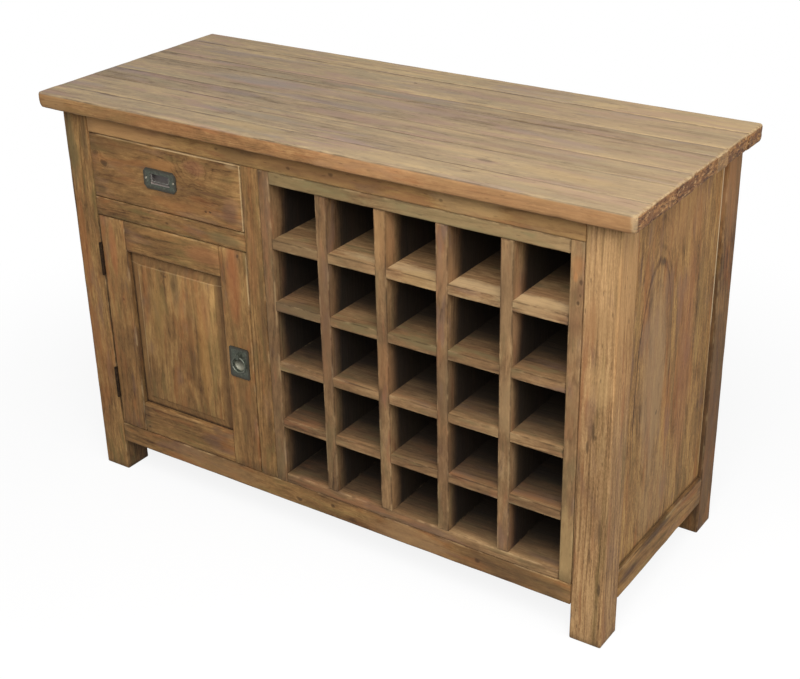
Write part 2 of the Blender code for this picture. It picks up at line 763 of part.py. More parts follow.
def build_drawer_front(drawer):
    bm = eased_box(
        (drawer_left, frame_front, drawer_bottom_edge),
        (drawer_right, drawer_front_back, drawer_top_edge),
        RAIL_EASE,
    )
    front = add_piece("drawer_front", bm, "panel_teak", drawer)
    cuts = bmesh.new()
    for middle in tail_places():
        socket = tail_outline(middle, FIT_GAP)
        prism_into(cuts, socket, X, drawer_left - CUT_OVERRUN, box_inner_left + FIT_GAP)
        prism_into(cuts, socket, X, box_inner_right - FIT_GAP, drawer_right + CUT_OVERRUN)
    tongue = {X: tray_tongue, Z: (tray_bottom, tray_top)}
    mortise_into(cuts, Y, drawer_front_back, 1, tongue, DRAWER_GROOVE_DEPTH)
    cup_x = (pull_x - CUP_WIDTH / 2 - CUP_WALL, pull_x + CUP_WIDTH / 2 + CUP_WALL)
    cup_z = (pull_z - CUP_HEIGHT / 2 - CUP_WALL, pull_z + CUP_HEIGHT / 2 + CUP_WALL)
    mortise_into(cuts, Y, frame_front, -1, {X: cup_x, Z: cup_z}, cup_floor + CUP_WALL - frame_front)
    screw_holes_into(cuts, frame_front - CUT_OVERRUN, frame_front + SCREW_LENGTH)
    combine(front, cuts, "DIFFERENCE")


def build_drawer_side(name, inner, outer, drawer):
    outline = [(box_end, box_base), (box_end, box_top)]
    start = drawer_front_back + FIT_GAP
    outline.append((start, box_top))
    for middle in reversed(tail_places()):
        heel, low_tip, high_tip, high_heel = tail_outline(middle, 0)
        outline.append((start, high_heel[1]))
        outline.append(high_tip)
        outline.append(low_tip)
        outline.append((start, heel[1]))
    outline.append((start, box_base))
    bm = bmesh.new()
    prism_into(bm, outline, X, inner, outer)
    side = add_piece(name, bm, "inner_teak", drawer)
    cuts = bmesh.new()
    face_side = 1 if inner > outer else -1
    groove = {Y: (start, box_end + CUT_OVERRUN), Z: (tray_bottom, tray_top)}
    mortise_into(cuts, X, inner, face_side, groove, DRAWER_GROOVE_DEPTH)
    combine(side, cuts, "DIFFERENCE")


def build_drawer_tray(drawer):
    ends = (box_inner_left + FIT_GAP, box_inner_right - FIT_GAP)
    bm = eased_box(
        (ends[0], box_end - DRAWER_SIDE_THICKNESS, tray_top + FIT_GAP), (ends[1], box_end, box_top), RAIL_EASE
    )
    add_piece("drawer_back", bm, "inner_teak", drawer)
    tongue_edge = drawer_front_back - DRAWER_GROOVE_DEPTH
    heel = drawer_front_back + 2 * FIT_GAP
    groove_left = box_inner_left - DRAWER_GROOVE_DEPTH
    groove_right = box_inner_right + DRAWER_GROOVE_DEPTH
    outline = [
        (groove_left, heel),
        (tray_tongue[0], heel),
        (tray_tongue[0], tongue_edge),
        (tray_tongue[1], tongue_edge),
        (tray_tongue[1], heel),
        (groove_right, heel),
        (groove_right, box_end),
        (groove_left, box_end),
    ]
    bm = bmesh.new()
    prism_into(bm, outline, Z, tray_bottom, tray_top)
    add_piece("drawer_bottom", bm, "inner_teak", drawer)


# Plate outline with its four corners clipped off
def clipped_outline(x, z, width, height, clip):
    outline = []
    for side_x, side_z in ((-1, -1), (1, -1), (1, 1), (-1, 1)):
        along_x = (x + side_x * (width / 2 - clip), z + side_z * height / 2)
        along_z = (x + side_x * width / 2, z + side_z * (height / 2 - clip))
        outline.extend([along_z, along_x] if side_x == side_z else [along_x, along_z])
    return outline


def screw_holes_into(bm, start, end):
    for side in (-1, 1):
        spot = (pull_x + side * SCREW_SPACING / 2, (start + end) / 2, pull_z)
        cylinder_into(bm, spot, Y, SCREW_SHANK_RADIUS + FIT_GAP, abs(end - start), WIRE_SIDES)


def build_pull_plate(drawer):
    bm = bmesh.new()
    outline = clipped_outline(pull_x, pull_z, PULL_WIDTH, PULL_HEIGHT, PULL_CLIP)
    prism_into(bm, outline, Y, plate_front, plate_back)
    plate = add_piece("drawer_pull_plate", bm, "pewter", drawer)

    half_x = CUP_WIDTH / 2
    half_z = CUP_HEIGHT / 2
    shell = bmesh.new()
    box_into(
        shell,
        (pull_x - half_x - CUP_WALL, plate_front + PLATE_THICKNESS / 2, pull_z - half_z - CUP_WALL),
        (pull_x + half_x + CUP_WALL, cup_floor + CUP_WALL, pull_z + half_z + CUP_WALL),
    )
    combine(plate, shell, "UNION")
    cuts = bmesh.new()
    low = (pull_x - half_x, plate_front - CUT_OVERRUN, pull_z - half_z)
    high = (pull_x + half_x, cup_floor, pull_z + half_z)
    box_into(cuts, low, high)
    combine(plate, cuts, "DIFFERENCE")
    pierced = bmesh.new()
    bore = BAIL_WIRE_RADIUS + FIT_GAP
    for side in (-1, 1):
        spot = (pull_x + side * (half_x + CUP_WALL / 2), bail_pivot_y, bail_pivot_z)
        cylinder_into(pierced, spot, X, bore, CUP_WALL + BAIL_CLEARANCE, WIRE_SIDES)
    screw_holes_into(pierced, plate_front - CUT_OVERRUN, plate_back + CUT_OVERRUN)
    combine(plate, pierced, "DIFFERENCE")


# Quarter turn of a bend, from the first leg's direction into the second's
def bend_points(corner, first, second, radius):
    points = []
    for step in range(BEND_STEPS + 1):
        angle = math.pi / 2 * step / BEND_STEPS
        along = radius * (1 - math.sin(angle))
        across = radius * (1 - math.cos(angle))
        points.append(corner - first * along + second * across)
    return points


# One bent wire: a stub in each cheek of the cup, two arms and the grip between them
def build_bail(drawer):
    pivot = add_pivot("bail_pivot", (pull_x, bail_pivot_y, bail_pivot_z), drawer)
    half = CUP_WIDTH / 2 - BAIL_CLEARANCE - BAIL_WIRE_RADIUS
    stub = CUP_WIDTH / 2 + CUP_WALL
    right = Vector((1, 0, 0))
    down = Vector((0, 0, -1))
    crook = BAIL_WIRE_RADIUS + FIT_GAP / 2
    points = [-right * stub]
    points += bend_points(-right * half, right, down, crook)
    points += bend_points(-right * half + down * BAIL_ARM_LENGTH, down, right, BAIL_GRIP_BEND)
    points += bend_points(right * half + down * BAIL_ARM_LENGTH, right, -down, BAIL_GRIP_BEND)
    points += bend_points(right * half, -down, right, crook)
    points += [right * stub]
    curve = bpy.data.curves.new("drawer_pull_bail", "CURVE")
    curve.dimensions = "3D"
    curve.bevel_depth = BAIL_WIRE_RADIUS
    curve.bevel_resolution = 3
    curve.use_fill_caps = True
    spline = curve.splines.new("POLY")
    spline.points.add(len(points) - 1)
    for point, place_on_wire in zip(spline.points, points):
        point.co = (*place_on_wire, 1)
    curve.materials.append(new_finish("drawer_pull_bail", "pewter"))
    bail = bpy.data.objects.new("drawer_pull_bail", curve)
    bpy.context.scene.collection.objects.link(bail)
    bail.parent = pivot


def screw_profile():
    return [
        (0, SCREW_HEAD_HEIGHT),
        (SCREW_HEAD_RADIUS * math.cos(math.pi / 4), SCREW_HEAD_HEIGHT * math.sin(math.pi / 3)),
        (SCREW_HEAD_RADIUS, 0),
        (SCREW_SHANK_RADIUS, 0),
        (SCREW_SHANK_RADIUS, SCREW_POINT - SCREW_LENGTH),
        (0, -SCREW_LENGTH),
    ]


def build_pull_screws(drawer):
    for word, side in (("left", -1), ("right", 1)):
        spot = Vector((pull_x + side * SCREW_SPACING / 2, plate_front - FIT_GAP, pull_z))
        bm = bmesh.new()
        turned_into(bm, screw_profile(), spot, Y, SCREW_SIDES)
        add_piece("drawer_pull_screw_" + word, bm, "bright_steel", drawer, smooth=True)


def build_drawer():
    drawer = add_pivot("drawer", ((drawer_left + drawer_right) / 2, frame_front, box_base))
    build_drawer_front(drawer)
    build_drawer_side("drawer_side_left", box_inner_left, box_left, drawer)
    build_drawer_side("drawer_side_right", box_inner_right, box_right, drawer)
    build_drawer_tray(drawer)
    build_pull_plate(drawer)
    build_bail(drawer)
    build_pull_screws(drawer)


# Recess for a hinge leaf: side -1 is in the leg, side 1 in the door's stile
def leaf_recess_into(bm, base, side):
    floor = hinge_x + side * (LEAF_THICKNESS + 2 * FIT_GAP)
    mouth = hinge_x + side * FIT_GAP
    low = (min(floor, mouth), frame_front - CUT_OVERRUN, base - FIT_GAP)
    high = (max(floor, mouth), leaf_back + FIT_GAP, base + HINGE_HEIGHT + FIT_GAP)
    box_into(bm, low, high)


def build_door_frame(door):
    for word, left in (("left", door_left), ("right", door_opening_right)):
        right = left + DOOR_STILE_WIDTH
        bm = eased_box((left, frame_front, door_base), (right, door_back, door_top), RAIL_EASE)
        stile = add_piece("door_stile_" + word, bm, "frame_teak", door)
        face, side = (right, 1) if word == "left" else (left, -1)
        cuts = bmesh.new()
        for height in (door_top_tenon, door_bottom_tenon):
            mortise_into(cuts, X, face, side, {Y: door_tenon, Z: height}, TENON_LENGTH)
        groove = {Y: tongue_span, Z: grown((door_opening_base, door_opening_top), GROOVE_DEPTH)}
        mortise_into(cuts, X, face, side, groove, GROOVE_DEPTH)
        if word == "left":
            for base in (upper_hinge_base, lower_hinge_base):
                leaf_recess_into(cuts, base, 1)
        else:
            depth = plate_front + DISH_DEPTH + CUP_WALL + FIT_GAP - (frame_front - CUT_OVERRUN)
            spot = (ring_x, frame_front - CUT_OVERRUN + depth / 2, dish_z)
            cylinder_into(cuts, spot, Y, DISH_RADIUS + CUP_WALL + 2 * FIT_GAP, depth, BOWL_SIDES)
        combine(stile, cuts, "DIFFERENCE")

    rails = (
        ("door_rail_bottom", (door_base, door_opening_base), door_bottom_tenon, door_opening_base, 1),
        ("door_rail_top", (door_opening_top, door_top), door_top_tenon, door_opening_top, -1),
    )
    ends = (door_opening_left + FIT_GAP, door_opening_right - FIT_GAP)
    for name, height, tenon, edge, side in rails:
        bm = long_rail(
            (ends[0], frame_front, height[0]), (ends[1], door_back, height[1]), {Y: door_tenon, Z: tenon}
        )
        rail = add_piece(name, bm, "frame_teak", door)
        cuts = bmesh.new()
        groove = {X: grown(ends, CUT_OVERRUN), Y: tongue_span}
        mortise_into(cuts, Z, edge, side, groove, GROOVE_DEPTH)
        combine(rail, cuts, "DIFFERENCE")


# Tongue in the grooves, bevelled border, small step and raised field
def build_door_panel(door):
    bm = bmesh.new()
    box_into(
        bm,
        (door_opening_left - GROOVE_DEPTH, tongue_front, door_opening_base - GROOVE_DEPTH),
        (door_opening_right + GROOVE_DEPTH, tongue_back, door_opening_top + GROOVE_DEPTH),
    )
    face = min(bm.faces, key=lambda item: item.calc_center_median().y)
    bmesh.ops.inset_individual(bm, faces=[face], thickness=GROOVE_DEPTH, use_even_offset=True)
    bmesh.ops.inset_individual(bm, faces=[face], thickness=PANEL_BEVEL_WIDTH, use_even_offset=True)
    for vert in face.verts:
        vert.co.y -= PANEL_BEVEL_RISE
    field = bmesh.ops.extrude_discrete_faces(bm, faces=[face])["faces"][0]
    for vert in field.verts:
        vert.co.y -= PANEL_STEP
    add_piece("door_panel", bm, "panel_teak", door)


def knuckle_spans(base, first):
    pitch = HINGE_HEIGHT / KNUCKLE_COUNT
    spans = []
    for number in range(first, KNUCKLE_COUNT, 2):
        spans.append((base + number * pitch + FIT_GAP / 2, base + (number + 1) * pitch - FIT_GAP / 2))
    return spans


# One leaf: a plate with a tab for each of its knuckles. Side -1 is the leg's leaf, 1 the door's
def build_leaf(name, base, side, holder):
    spans = knuckle_spans(base, 0 if side < 0 else 1)
    tab = hinge_y + (knuckle_bore_radius + KNUCKLE_RADIUS) / 2
    root = hinge_y + KNUCKLE_RADIUS + FIT_GAP
    outline = [(leaf_back, base), (root, base)]
    for low, high in spans:
        outline += [(root, low), (tab, low), (tab, high), (root, high)]
    outline += [(root, base + HINGE_HEIGHT), (leaf_back, base + HINGE_HEIGHT)]
    near = hinge_x + side * FIT_GAP
    bm = bmesh.new()
    prism_into(bm, outline, X, near, near + side * LEAF_THICKNESS)
    leaf = add_piece(name, bm, "dark_iron", holder)
    knuckles = bmesh.new()
    bores = bmesh.new()
    for low, high in spans:
        spot = (hinge_x, hinge_y, (low + high) / 2)
        cylinder_into(knuckles, spot, Z, KNUCKLE_RADIUS, high - low, KNUCKLE_SIDES)
        cylinder_into(bores, spot, Z, knuckle_bore_radius, high - low + CUT_OVERRUN, KNUCKLE_SIDES)
    combine(leaf, knuckles, "UNION")
    combine(leaf, bores, "DIFFERENCE")


def build_hinge_pin(name, base):
    cap = HINGE_CAP_HEIGHT
    half = HINGE_HEIGHT / 2 + FIT_GAP
    profile = [
        (0, -half - cap),
        (HINGE_CAP_RADIUS, -half - cap / 2),
        (HINGE_CAP_RADIUS, -half),
        (HINGE_PIN_RADIUS, -half),
        (HINGE_PIN_RADIUS, half),
        (HINGE_CAP_RADIUS, half),
        (HINGE_CAP_RADIUS, half + cap / 2),
        (0, half + cap),
    ]
    bm = bmesh.new()
    turned_into(bm, profile, (hinge_x, hinge_y, base + HINGE_HEIGHT / 2), Z, KNUCKLE_SIDES)
    add_piece(name, bm, "dark_iron", smooth=True)


def build_hinges(door):
    for word, base in (("upper", upper_hinge_base), ("lower", lower_hinge_base)):
        build_leaf(word + "_hinge_frame_leaf", base, -1, None)
        build_leaf(word + "_hinge_door_leaf", base, 1, door)
        build_hinge_pin(word + "_hinge_pin", base)


# A bowl is a quarter ellipse turned round the depth axis, with its mouth drawn forward
def bowl_into(bm, radius, depth, mouth):
    profile = [(0, -mouth), (radius, -mouth)]
    for step in range(BOWL_STEPS + 1):
        angle = math.pi / 2 * step / BOWL_STEPS
        profile.append((radius * math.cos(angle), depth * math.sin(angle)))
    profile[-1] = (0, depth)
    turned = [(width, -height) for width, height in profile]
    turned_into(bm, turned, (ring_x, plate_front, dish_z), Y, BOWL_SIDES)


def build_ring_plate(door):
    bm = bmesh.new()
    outline = clipped_outline(ring_x, ring_plate_z, RING_PLATE_WIDTH, RING_PLATE_HEIGHT, RING_PLATE_CLIP)
    prism_into(bm, outline, Y, plate_front, plate_back)
    plate = add_piece("door_pull_plate", bm, "pewter", door)

    eye = bmesh.new()
    eye_low = ring_pivot_z - EYE_BORE_RADIUS - EYE_WALL
    box_into(
        eye,
        (ring_x - EYE_WIDTH / 2, ring_y - EYE_BORE_RADIUS - EYE_WALL, eye_low),
        (ring_x + EYE_WIDTH / 2, plate_front + PLATE_THICKNESS / 2, eye_low + EYE_HEIGHT),
    )
    combine(plate, eye, "UNION")
    shell = bmesh.new()
    bowl_into(shell, DISH_RADIUS + CUP_WALL, DISH_DEPTH + CUP_WALL, -PLATE_THICKNESS / 2)
    combine(plate, shell, "UNION")
    hollow = bmesh.new()
    bowl_into(hollow, DISH_RADIUS, DISH_DEPTH, PLATE_THICKNESS)
    combine(plate, hollow, "DIFFERENCE")
    bore = bmesh.new()
    pivot = (ring_x, ring_y, ring_pivot_z)
    cylinder_into(bore, pivot, X, EYE_BORE_RADIUS, EYE_WIDTH + CUT_OVERRUN, BORE_SIDES)
    combine(plate, bore, "DIFFERENCE")


# The ring hangs from its top, which lies on the pivot line through the eye
def build_ring(door):
    bm = bmesh.new()
    start = Matrix.Translation((RING_RADIUS, 0, 0)) @ Matrix.Rotation(math.pi / 2, 4, "X")
    bmesh.ops.create_circle(bm, cap_ends=False, segments=WIRE_SIDES, radius=RING_WIRE_RADIUS, matrix=start)
    bmesh.ops.spin(
        bm, geom=bm.verts[:] + bm.edges[:], axis=(0, 0, 1), angle=math.tau, steps=RING_STEPS, use_merge=True
    )
    upright = Matrix.Translation((ring_x, ring_y, dish_z)) @ Matrix.Rotation(math.pi / 2, 4, "X")
    bmesh.ops.transform(bm, matrix=upright, verts=bm.verts)
    pivot = (ring_x, ring_y, ring_pivot_z)
    add_piece("door_pull_ring", bm, "pewter", door, origin=pivot, smooth=True)


# Block under the drawer rail that the closed door rests against
def build_door_stop():
    middle = door_right - STOP_INSET
    top = drawer_rail_bottom - FIT_GAP
    front = door_back + FIT_GAP
    bm = eased_box(
        (middle - STOP_LENGTH / 2, front, top - STOP_HEIGHT),
        (middle + STOP_LENGTH / 2, front + STOP_DEPTH, top),
        RAIL_EASE,
    )
    add_piece("door_stop", bm, "inner_teak")


def build_door():
    door = add_pivot("door", (hinge_x, hinge_y, door_base))
    build_door_frame(door)
    build_door_panel(door)
    build_hinges(door)
    build_ring_plate(door)
    build_ring(door)
    build_door_stop()


def build_sideboard():
    build_top()
    build_legs()
    build_front_rails()
    build_rear_rails()
    build_drawer_rail()
    build_middle_stile()
    build_sides()
    build_back_panel()
    build_cupboard_floor()
    build_rack_frame()
    build_rack_grid()
    build_runners()
    build_drawer()
    build_door()


clear_scene()
build_sideboard()
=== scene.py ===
import json
import math

import bmesh
import bpy
from mathutils import Matrix, Vector, noise


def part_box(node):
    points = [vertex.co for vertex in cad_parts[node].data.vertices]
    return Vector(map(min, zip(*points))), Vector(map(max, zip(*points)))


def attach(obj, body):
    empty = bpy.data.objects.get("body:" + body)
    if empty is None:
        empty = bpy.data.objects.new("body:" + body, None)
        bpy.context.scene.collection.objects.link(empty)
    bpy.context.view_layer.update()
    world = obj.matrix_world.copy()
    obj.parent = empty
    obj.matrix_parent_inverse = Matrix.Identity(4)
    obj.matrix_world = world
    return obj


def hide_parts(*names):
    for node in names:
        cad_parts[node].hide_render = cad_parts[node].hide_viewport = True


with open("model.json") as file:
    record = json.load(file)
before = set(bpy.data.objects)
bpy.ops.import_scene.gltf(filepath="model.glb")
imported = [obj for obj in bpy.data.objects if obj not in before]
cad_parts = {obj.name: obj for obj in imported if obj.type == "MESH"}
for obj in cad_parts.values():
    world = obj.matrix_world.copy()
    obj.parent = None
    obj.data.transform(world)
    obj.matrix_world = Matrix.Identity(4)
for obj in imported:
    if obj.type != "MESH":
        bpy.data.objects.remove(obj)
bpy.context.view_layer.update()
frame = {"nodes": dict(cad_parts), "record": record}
nodes = frame["nodes"]
print("frame loaded:", len(nodes), "nodes")

bodies = frame["record"]["behaviour"]["bodies"]
bodyOf = {member: body for body, members in bodies.items() for member in members}


# A colour as it looks on screen, 0 to 255, turned into the linear values that a socket takes
def tint(red, green, blue):
    made = []
    for part in (red, green, blue):
        part = part / 255
        made.append(part / 12.92 if part <= 0.04045 else ((part + 0.055) / 1.055) ** 2.4)
    return (*made, 1)


# Wraps a socket: the operators add Math nodes, and node() adds any other kind
class Wire:
    def __init__(self, tree, socket=None):
        self.tree = tree
        self.socket = socket

    def node(self, kind, values, output=0, **settings):
        made = self.tree.nodes.new("ShaderNode" + kind)
        for name, value in settings.items():
            setattr(made, name, value)
        for key, value in values.items():
            if isinstance(value, Wire):
                self.tree.links.new(value.socket, made.inputs[key])
            else:
                made.inputs[key].default_value = value
        return Wire(self.tree, made.outputs[output])

    def maths(self, operation, *values):
        return self.node("Math", dict(enumerate(values)), operation=operation)

    def __add__(self, other):
        return self.maths("ADD", self, other)

    __radd__ = __add__

    def __sub__(self, other):
        return self.maths("SUBTRACT", self, other)

    def __rsub__(self, other):
        return self.maths("SUBTRACT", other, self)

    def __mul__(self, other):
        return self.maths("MULTIPLY", self, other)

    __rmul__ = __mul__

    def __truediv__(self, other):
        return self.maths("DIVIDE", self, other)

    def __rtruediv__(self, other):
        return self.maths("DIVIDE", other, self)

    def __abs__(self):
        return self.maths("ABSOLUTE", self)

    def least(self, other):
        return self.maths("MINIMUM", self, other)

    def most(self, other):
        return self.maths("MAXIMUM", self, other)

    # Rises smoothly from 0 at start to 1 at end; falls where start is the larger
    def ramp(self, start, end):
        limits = {"Value": self, "From Min": start, "From Max": end}
        return self.node("MapRange", limits, interpolation_type="SMOOTHSTEP")

    # Lays a colour over this wire or over low; three plain numbers are a colour as it looks on screen
    def blend(self, share, high, low=None):
        low, high = (tint(*c) if isinstance(c, tuple) and len(c) == 3 else c for c in (low or self, high))
        return self.node("Mix", {0: share, 6: low, 7: high}, 2, data_type="RGBA")

    def vector(self, *parts):
        return self.node("CombineXYZ", dict(enumerate(parts)))

    def length(self):
        return self.node("VectorMath", {0: self}, 1, operation="LENGTH")

    def split(self):
        return [self.node("SeparateXYZ", {0: self}, i) for i in range(3)]

    def stretched(self, scale):
        return self.node("VectorMath", {0: self, 1: scale}, operation="MULTIPLY")

    # Noise from about 0 to 1: its scale on each axis, then detail, roughness, distortion;
    # run makes it longer along the third axis
    def cloud(self, made, run=1.0):
        across, deep, along, *rest = made
        values = {"Vector": self.stretched((across, deep, along / run)), "Scale": 1.0}
        for name, value in zip(("Detail", "Roughness", "Distortion"), rest):
            values[name] = value
        return self.node("TexNoise", values, noise_dimensions="3D")

    def colours(self, stops):
        made = self.node("ValToRGB", {0: self})
        elements = made.socket.node.color_ramp.elements
        while len(elements) < len(stops):
            elements.new(0.5)
        for element, (spot, colour) in zip(elements, sorted(stops)):
            element.position = spot
            element.color = tint(*colour) if isinstance(colour, tuple) else (colour, colour, colour, 1)
        return made


def newMaterial(name):
    material = bpy.data.materials.new(name)
    material.use_nodes = True
    tree = material.node_tree
    shader = tree.nodes["Principled BSDF"]
    return material, Wire(tree), shader


def feed(shader, socket, wire):
    shader.id_data.links.new(wire.socket, shader.inputs[socket])


def bump(shader, height, relief):
    feed(shader, "Normal", height.node("Bump", {"Strength": 1.0, "Distance": relief, "Height": height}))


# How a board lies, if not level with its show face to the front
levelFlat = dict(grain=0, face=2)
frontToBack = dict(grain=1, face=0)
uprightFront = dict(grain=2, face=1)
uprightSide = dict(grain=2, face=0)

# What a board of teak can change; a board's own dictionary gives only what differs
teakBasics = dict(
    grain=0,  # axis of the fibres
    face=1,  # axis that the show face looks along
    heart=(0.03, 0.09, 0.02, 0.05),  # the log's heart: across and behind the middle, drift along in both
    ring=0.0085,
    rings=(),  # single dark growth lines: radius, width, strength
    ringsFrom=None,  # where along the grain those lines begin, and where they show in full
    sway=0.022,
    wave=0.012,  # how far streaks and blotches wander sideways
    ripple=0.003,
    ringStrength=0.34, fibre=0.3, patch=0.65, blotch=0.62, mottle=0.34, fleck=0.14, streaks=0.55,
    red=0.46, olive=0.46, mauve=0.46, tone=0.0, checks=0.35,
    run=1.0,  # length of the streaks
    knots=(),  # place along, place across, radius, depth of colour
    marks=(),  # place along, place across, reach along, reach across, colour, strength
    edgeMarks=(),  # the same, and under the weathering
    seamsAndPaintedLight=(),  # axis, place, reach, colour, strength, and from where to where along the grain: dark joints, painted shade and painted highlights
    border=None,  # painted shade round a raised field: depth at the field, depth below, colour, strength
    worn=0.22,
    wornWithin=(0.0042, 0.0008),  # of an arris: where wear begins, and where it is full
    grime=0.45,
    grimeWithin=(0.0032, 0.0),
    seed=0.0,
    seedShift=(0.37, 0.53),  # how far the seed moves the patterns: across, deep
    light=(182, 142, 88), middle=(140, 104, 63), dark=(74, 50, 30),
    reddish=(156, 100, 58), greenish=(112, 96, 56), mauvish=(118, 90, 74),
    wornTint=(208, 180, 134), grimeTint=(40, 28, 19), checkTint=(52, 36, 25), knotTint=(54, 35, 23),
    # the colour of the painted shade inside
    shadeInsideTint=(28, 25, 22),
    roughness=0.68, shine=0.22, relief=0.0004,
    weathered=False,  # a board of the slab, which gives bleach, outer and paleEnd as well
    shadeInside=None,  # painted shade that turns the wood dark inside: from and to which depth, strength, how far later high up
    highUp=(0.46, 0.66),
    rightOf=None,  # where across the board's thickness that painted shade begins
)

# The wood's patterns, in cycles per metre across, deep and along the fibres
figure = dict(
    wave=(9, 9, 6, 2.0), sway=(4.5, 4.5, 1.5, 1.0), ripple=(60, 60, 9, 3.0, 0.65),
    knotEdge=(70, 70, 70, 1.0),
    cells=(105, 105, 27),  # of the fine checks
)
# Those that grow longer with a board's run, and those that don't; both are unpacked in this order
longFigure = dict(
    fibre=(330, 330, 24, 3.0, 0.65), blotch=(50, 50, 14, 3.0, 0.6, 0.4),
    mottle=(130, 130, 50, 4.0, 0.7), hue=(62, 62, 13, 2.5, 0.6),
)
shortFigure = dict(
    clear=(16, 16, 3.5, 1.5, 0.5), pore=(1300, 1300, 70, 2.0, 0.55),
    patch=(13, 13, 3.4, 2.5, 0.55), fleck=(420, 420, 170, 2.0, 0.6),
    stain=(95, 95, 3.0, 3.0, 0.6), hair=(720, 720, 11, 2.0, 0.5),
    wideHue=(17, 17, 3.6, 2.0, 0.5), dusk=(44, 44, 11, 2.0, 0.6), rub=(60, 60, 22, 3.0, 0.65),
)
ringStops = [(0.0, 0.5), (0.1, 0.12), (0.45, 0.16), (0.78, 0.5), (0.92, 1.0), (1.0, 0.5)]


def teak(name, node, look):
    look = {**teakBasics, **look}
    low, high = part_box(node)
    centre = (low + high) / 2
    half = (high - low) / 2
    grain, face = look["grain"], look["face"]
    cross = 3 - grain - face
    material, start, shader = newMaterial(name + "Teak")

    spot = start.node("TexCoord", {}, "Object")
    parts = start.node("Mapping", {"Vector": spot, "Location": -centre}).split()
    along, across, deep = parts[grain], parts[cross], parts[face]
    seed = look["seed"]
    shiftedAcross, shiftedDeep = (w + seed * by for w, by in zip((across, deep), look["seedShift"]))
    local = start.vector(shiftedAcross, shiftedDeep, along + seed)
    wave = (local.cloud(figure["wave"]) - 0.5) * look["wave"]
    local = start.vector(shiftedAcross + wave, shiftedDeep + wave, along + seed)

    def fromPlace(placeAlong, placeAcross):
        return along - (placeAlong - centre[grain]), across - (placeAcross - centre[cross])

    # growth rings round a leaning, wandering heart that lies behind the show face
    sway = (local.cloud(figure["sway"]) - 0.5) * look["sway"] * 2
    ripple = (local.cloud(figure["ripple"]) - 0.5) * look["ripple"] * 2
    fromHeart = [
        wire - heart - along * drift + sway * share
        for wire, heart, drift, share in zip((across, deep), look["heart"][:2], look["heart"][2:], (1, 0.6))
    ]
    radius = start.vector(*fromHeart).length() + ripple
    core = None
    for placeAlong, placeAcross, size, depth in look["knots"]:
        wobble = (local.cloud(figure["knotEdge"]) - 0.5) * size * 1.4
        awayAlong, awayAcross = fromPlace(placeAlong, placeAcross)
        awayAcross = (awayAcross + wobble) / size
        awayAlong = (awayAlong - wobble) / (size * 1.5)
        square = awayAcross * awayAcross + awayAlong * awayAlong
        hill = 1 / (square * 0.35 + 1)
        radius = radius + hill * hill * size * 2.4
        dot = square.ramp(1.3, 0.02) * depth
        core = dot if core is None else core.most(dot)
    beatValues = {"W": radius * 60 + seed, "Scale": 1.0, "Detail": 1.5}
    beat = start.node("TexNoise", beatValues, noise_dimensions="1D")
    phase = radius / look["ring"] + beat * 3.0
    ring = phase.maths("FRACT", phase).colours(ringStops)

    # fibres, pores, blotches and long stains
    fibre, blotch, mottle, hue = (local.cloud(made, look["run"]) for made in longFigure.values())
    clouds = (local.cloud(made) for made in shortFigure.values())
    clear, pore, patch, fleck, stain, hair, wideHue, dusk, rub = clouds
    ring = ring * (clear.ramp(0.36, 0.62) * 0.7 + 0.3)
    stain = stain.ramp(0.56, 0.74)
    hair = hair.ramp(0.58, 0.72)
    cellValues = {"Vector": local.stretched(figure["cells"]), "Scale": 1.0}
    cells = start.node("TexVoronoi", cellValues, "Distance", voronoi_dimensions="3D", feature="F1")
    check = cells.ramp(0.17, 0.06) * look["checks"]

    depthValue = (
        ring * look["ringStrength"]
        + (fibre - 0.5) * look["fibre"] * 2.0
        + (pore - 0.5) * 0.3
        + (fleck - 0.5) * look["fleck"] * 2.0
        + (patch - 0.5) * look["patch"] * 1.6
        + (blotch - 0.5) * look["blotch"] * 1.6
        + (mottle - 0.5) * look["mottle"] * 2.0
        + stain * look["streaks"] * 0.5
        + hair * 0.08
        + (0.38 - look["tone"])
    )
    for place, width, strength in look["rings"]:
        line = abs(radius - place).ramp(width, width * 0.2) * (blotch + 0.35) * strength
        if look["ringsFrom"]:
            line = line * along.ramp(*(place - centre[grain] for place in look["ringsFrom"]))
        depthValue = depthValue + line
    colour = depthValue.colours([(0.0, look["light"]), (0.45, look["middle"]), (1.0, look["dark"])])
    hueShift = hue * 0.6 + wideHue * 0.4
    dusk = dusk * 0.6 + wideHue * 0.4
    colour = colour.blend(hueShift.ramp(0.51, 0.64) * look["red"], look["reddish"])
    colour = colour.blend(hueShift.ramp(0.48, 0.35) * look["olive"], look["greenish"])
    colour = colour.blend(dusk.ramp(0.53, 0.66) * look["mauve"], look["mauvish"])

    height = (fibre - 0.5) * 0.7 + (pore - 0.5) * 0.8 + (mottle - 0.5) * 0.8 - ring * 0.3 - stain * 0.4
    height = height - check * 1.2 - hair * 0.3
    drift = (mottle - 0.5) * 0.9 + (hue - 0.5) * 1.3 + (fibre - 0.5) * 0.5

    def spotted(colour, marks):
        for placeAlong, placeAcross, reachAlong, reachAcross, shade, strength in marks:
            awayAlong, awayAcross = fromPlace(placeAlong, placeAcross)
            awayAcross = awayAcross / reachAcross
            awayAlong = awayAlong / reachAlong
            square = awayAcross * awayAcross + awayAlong * awayAlong + drift
            colour = colour.blend(square.ramp(1.2, 0.1) * strength, shade)
        return colour

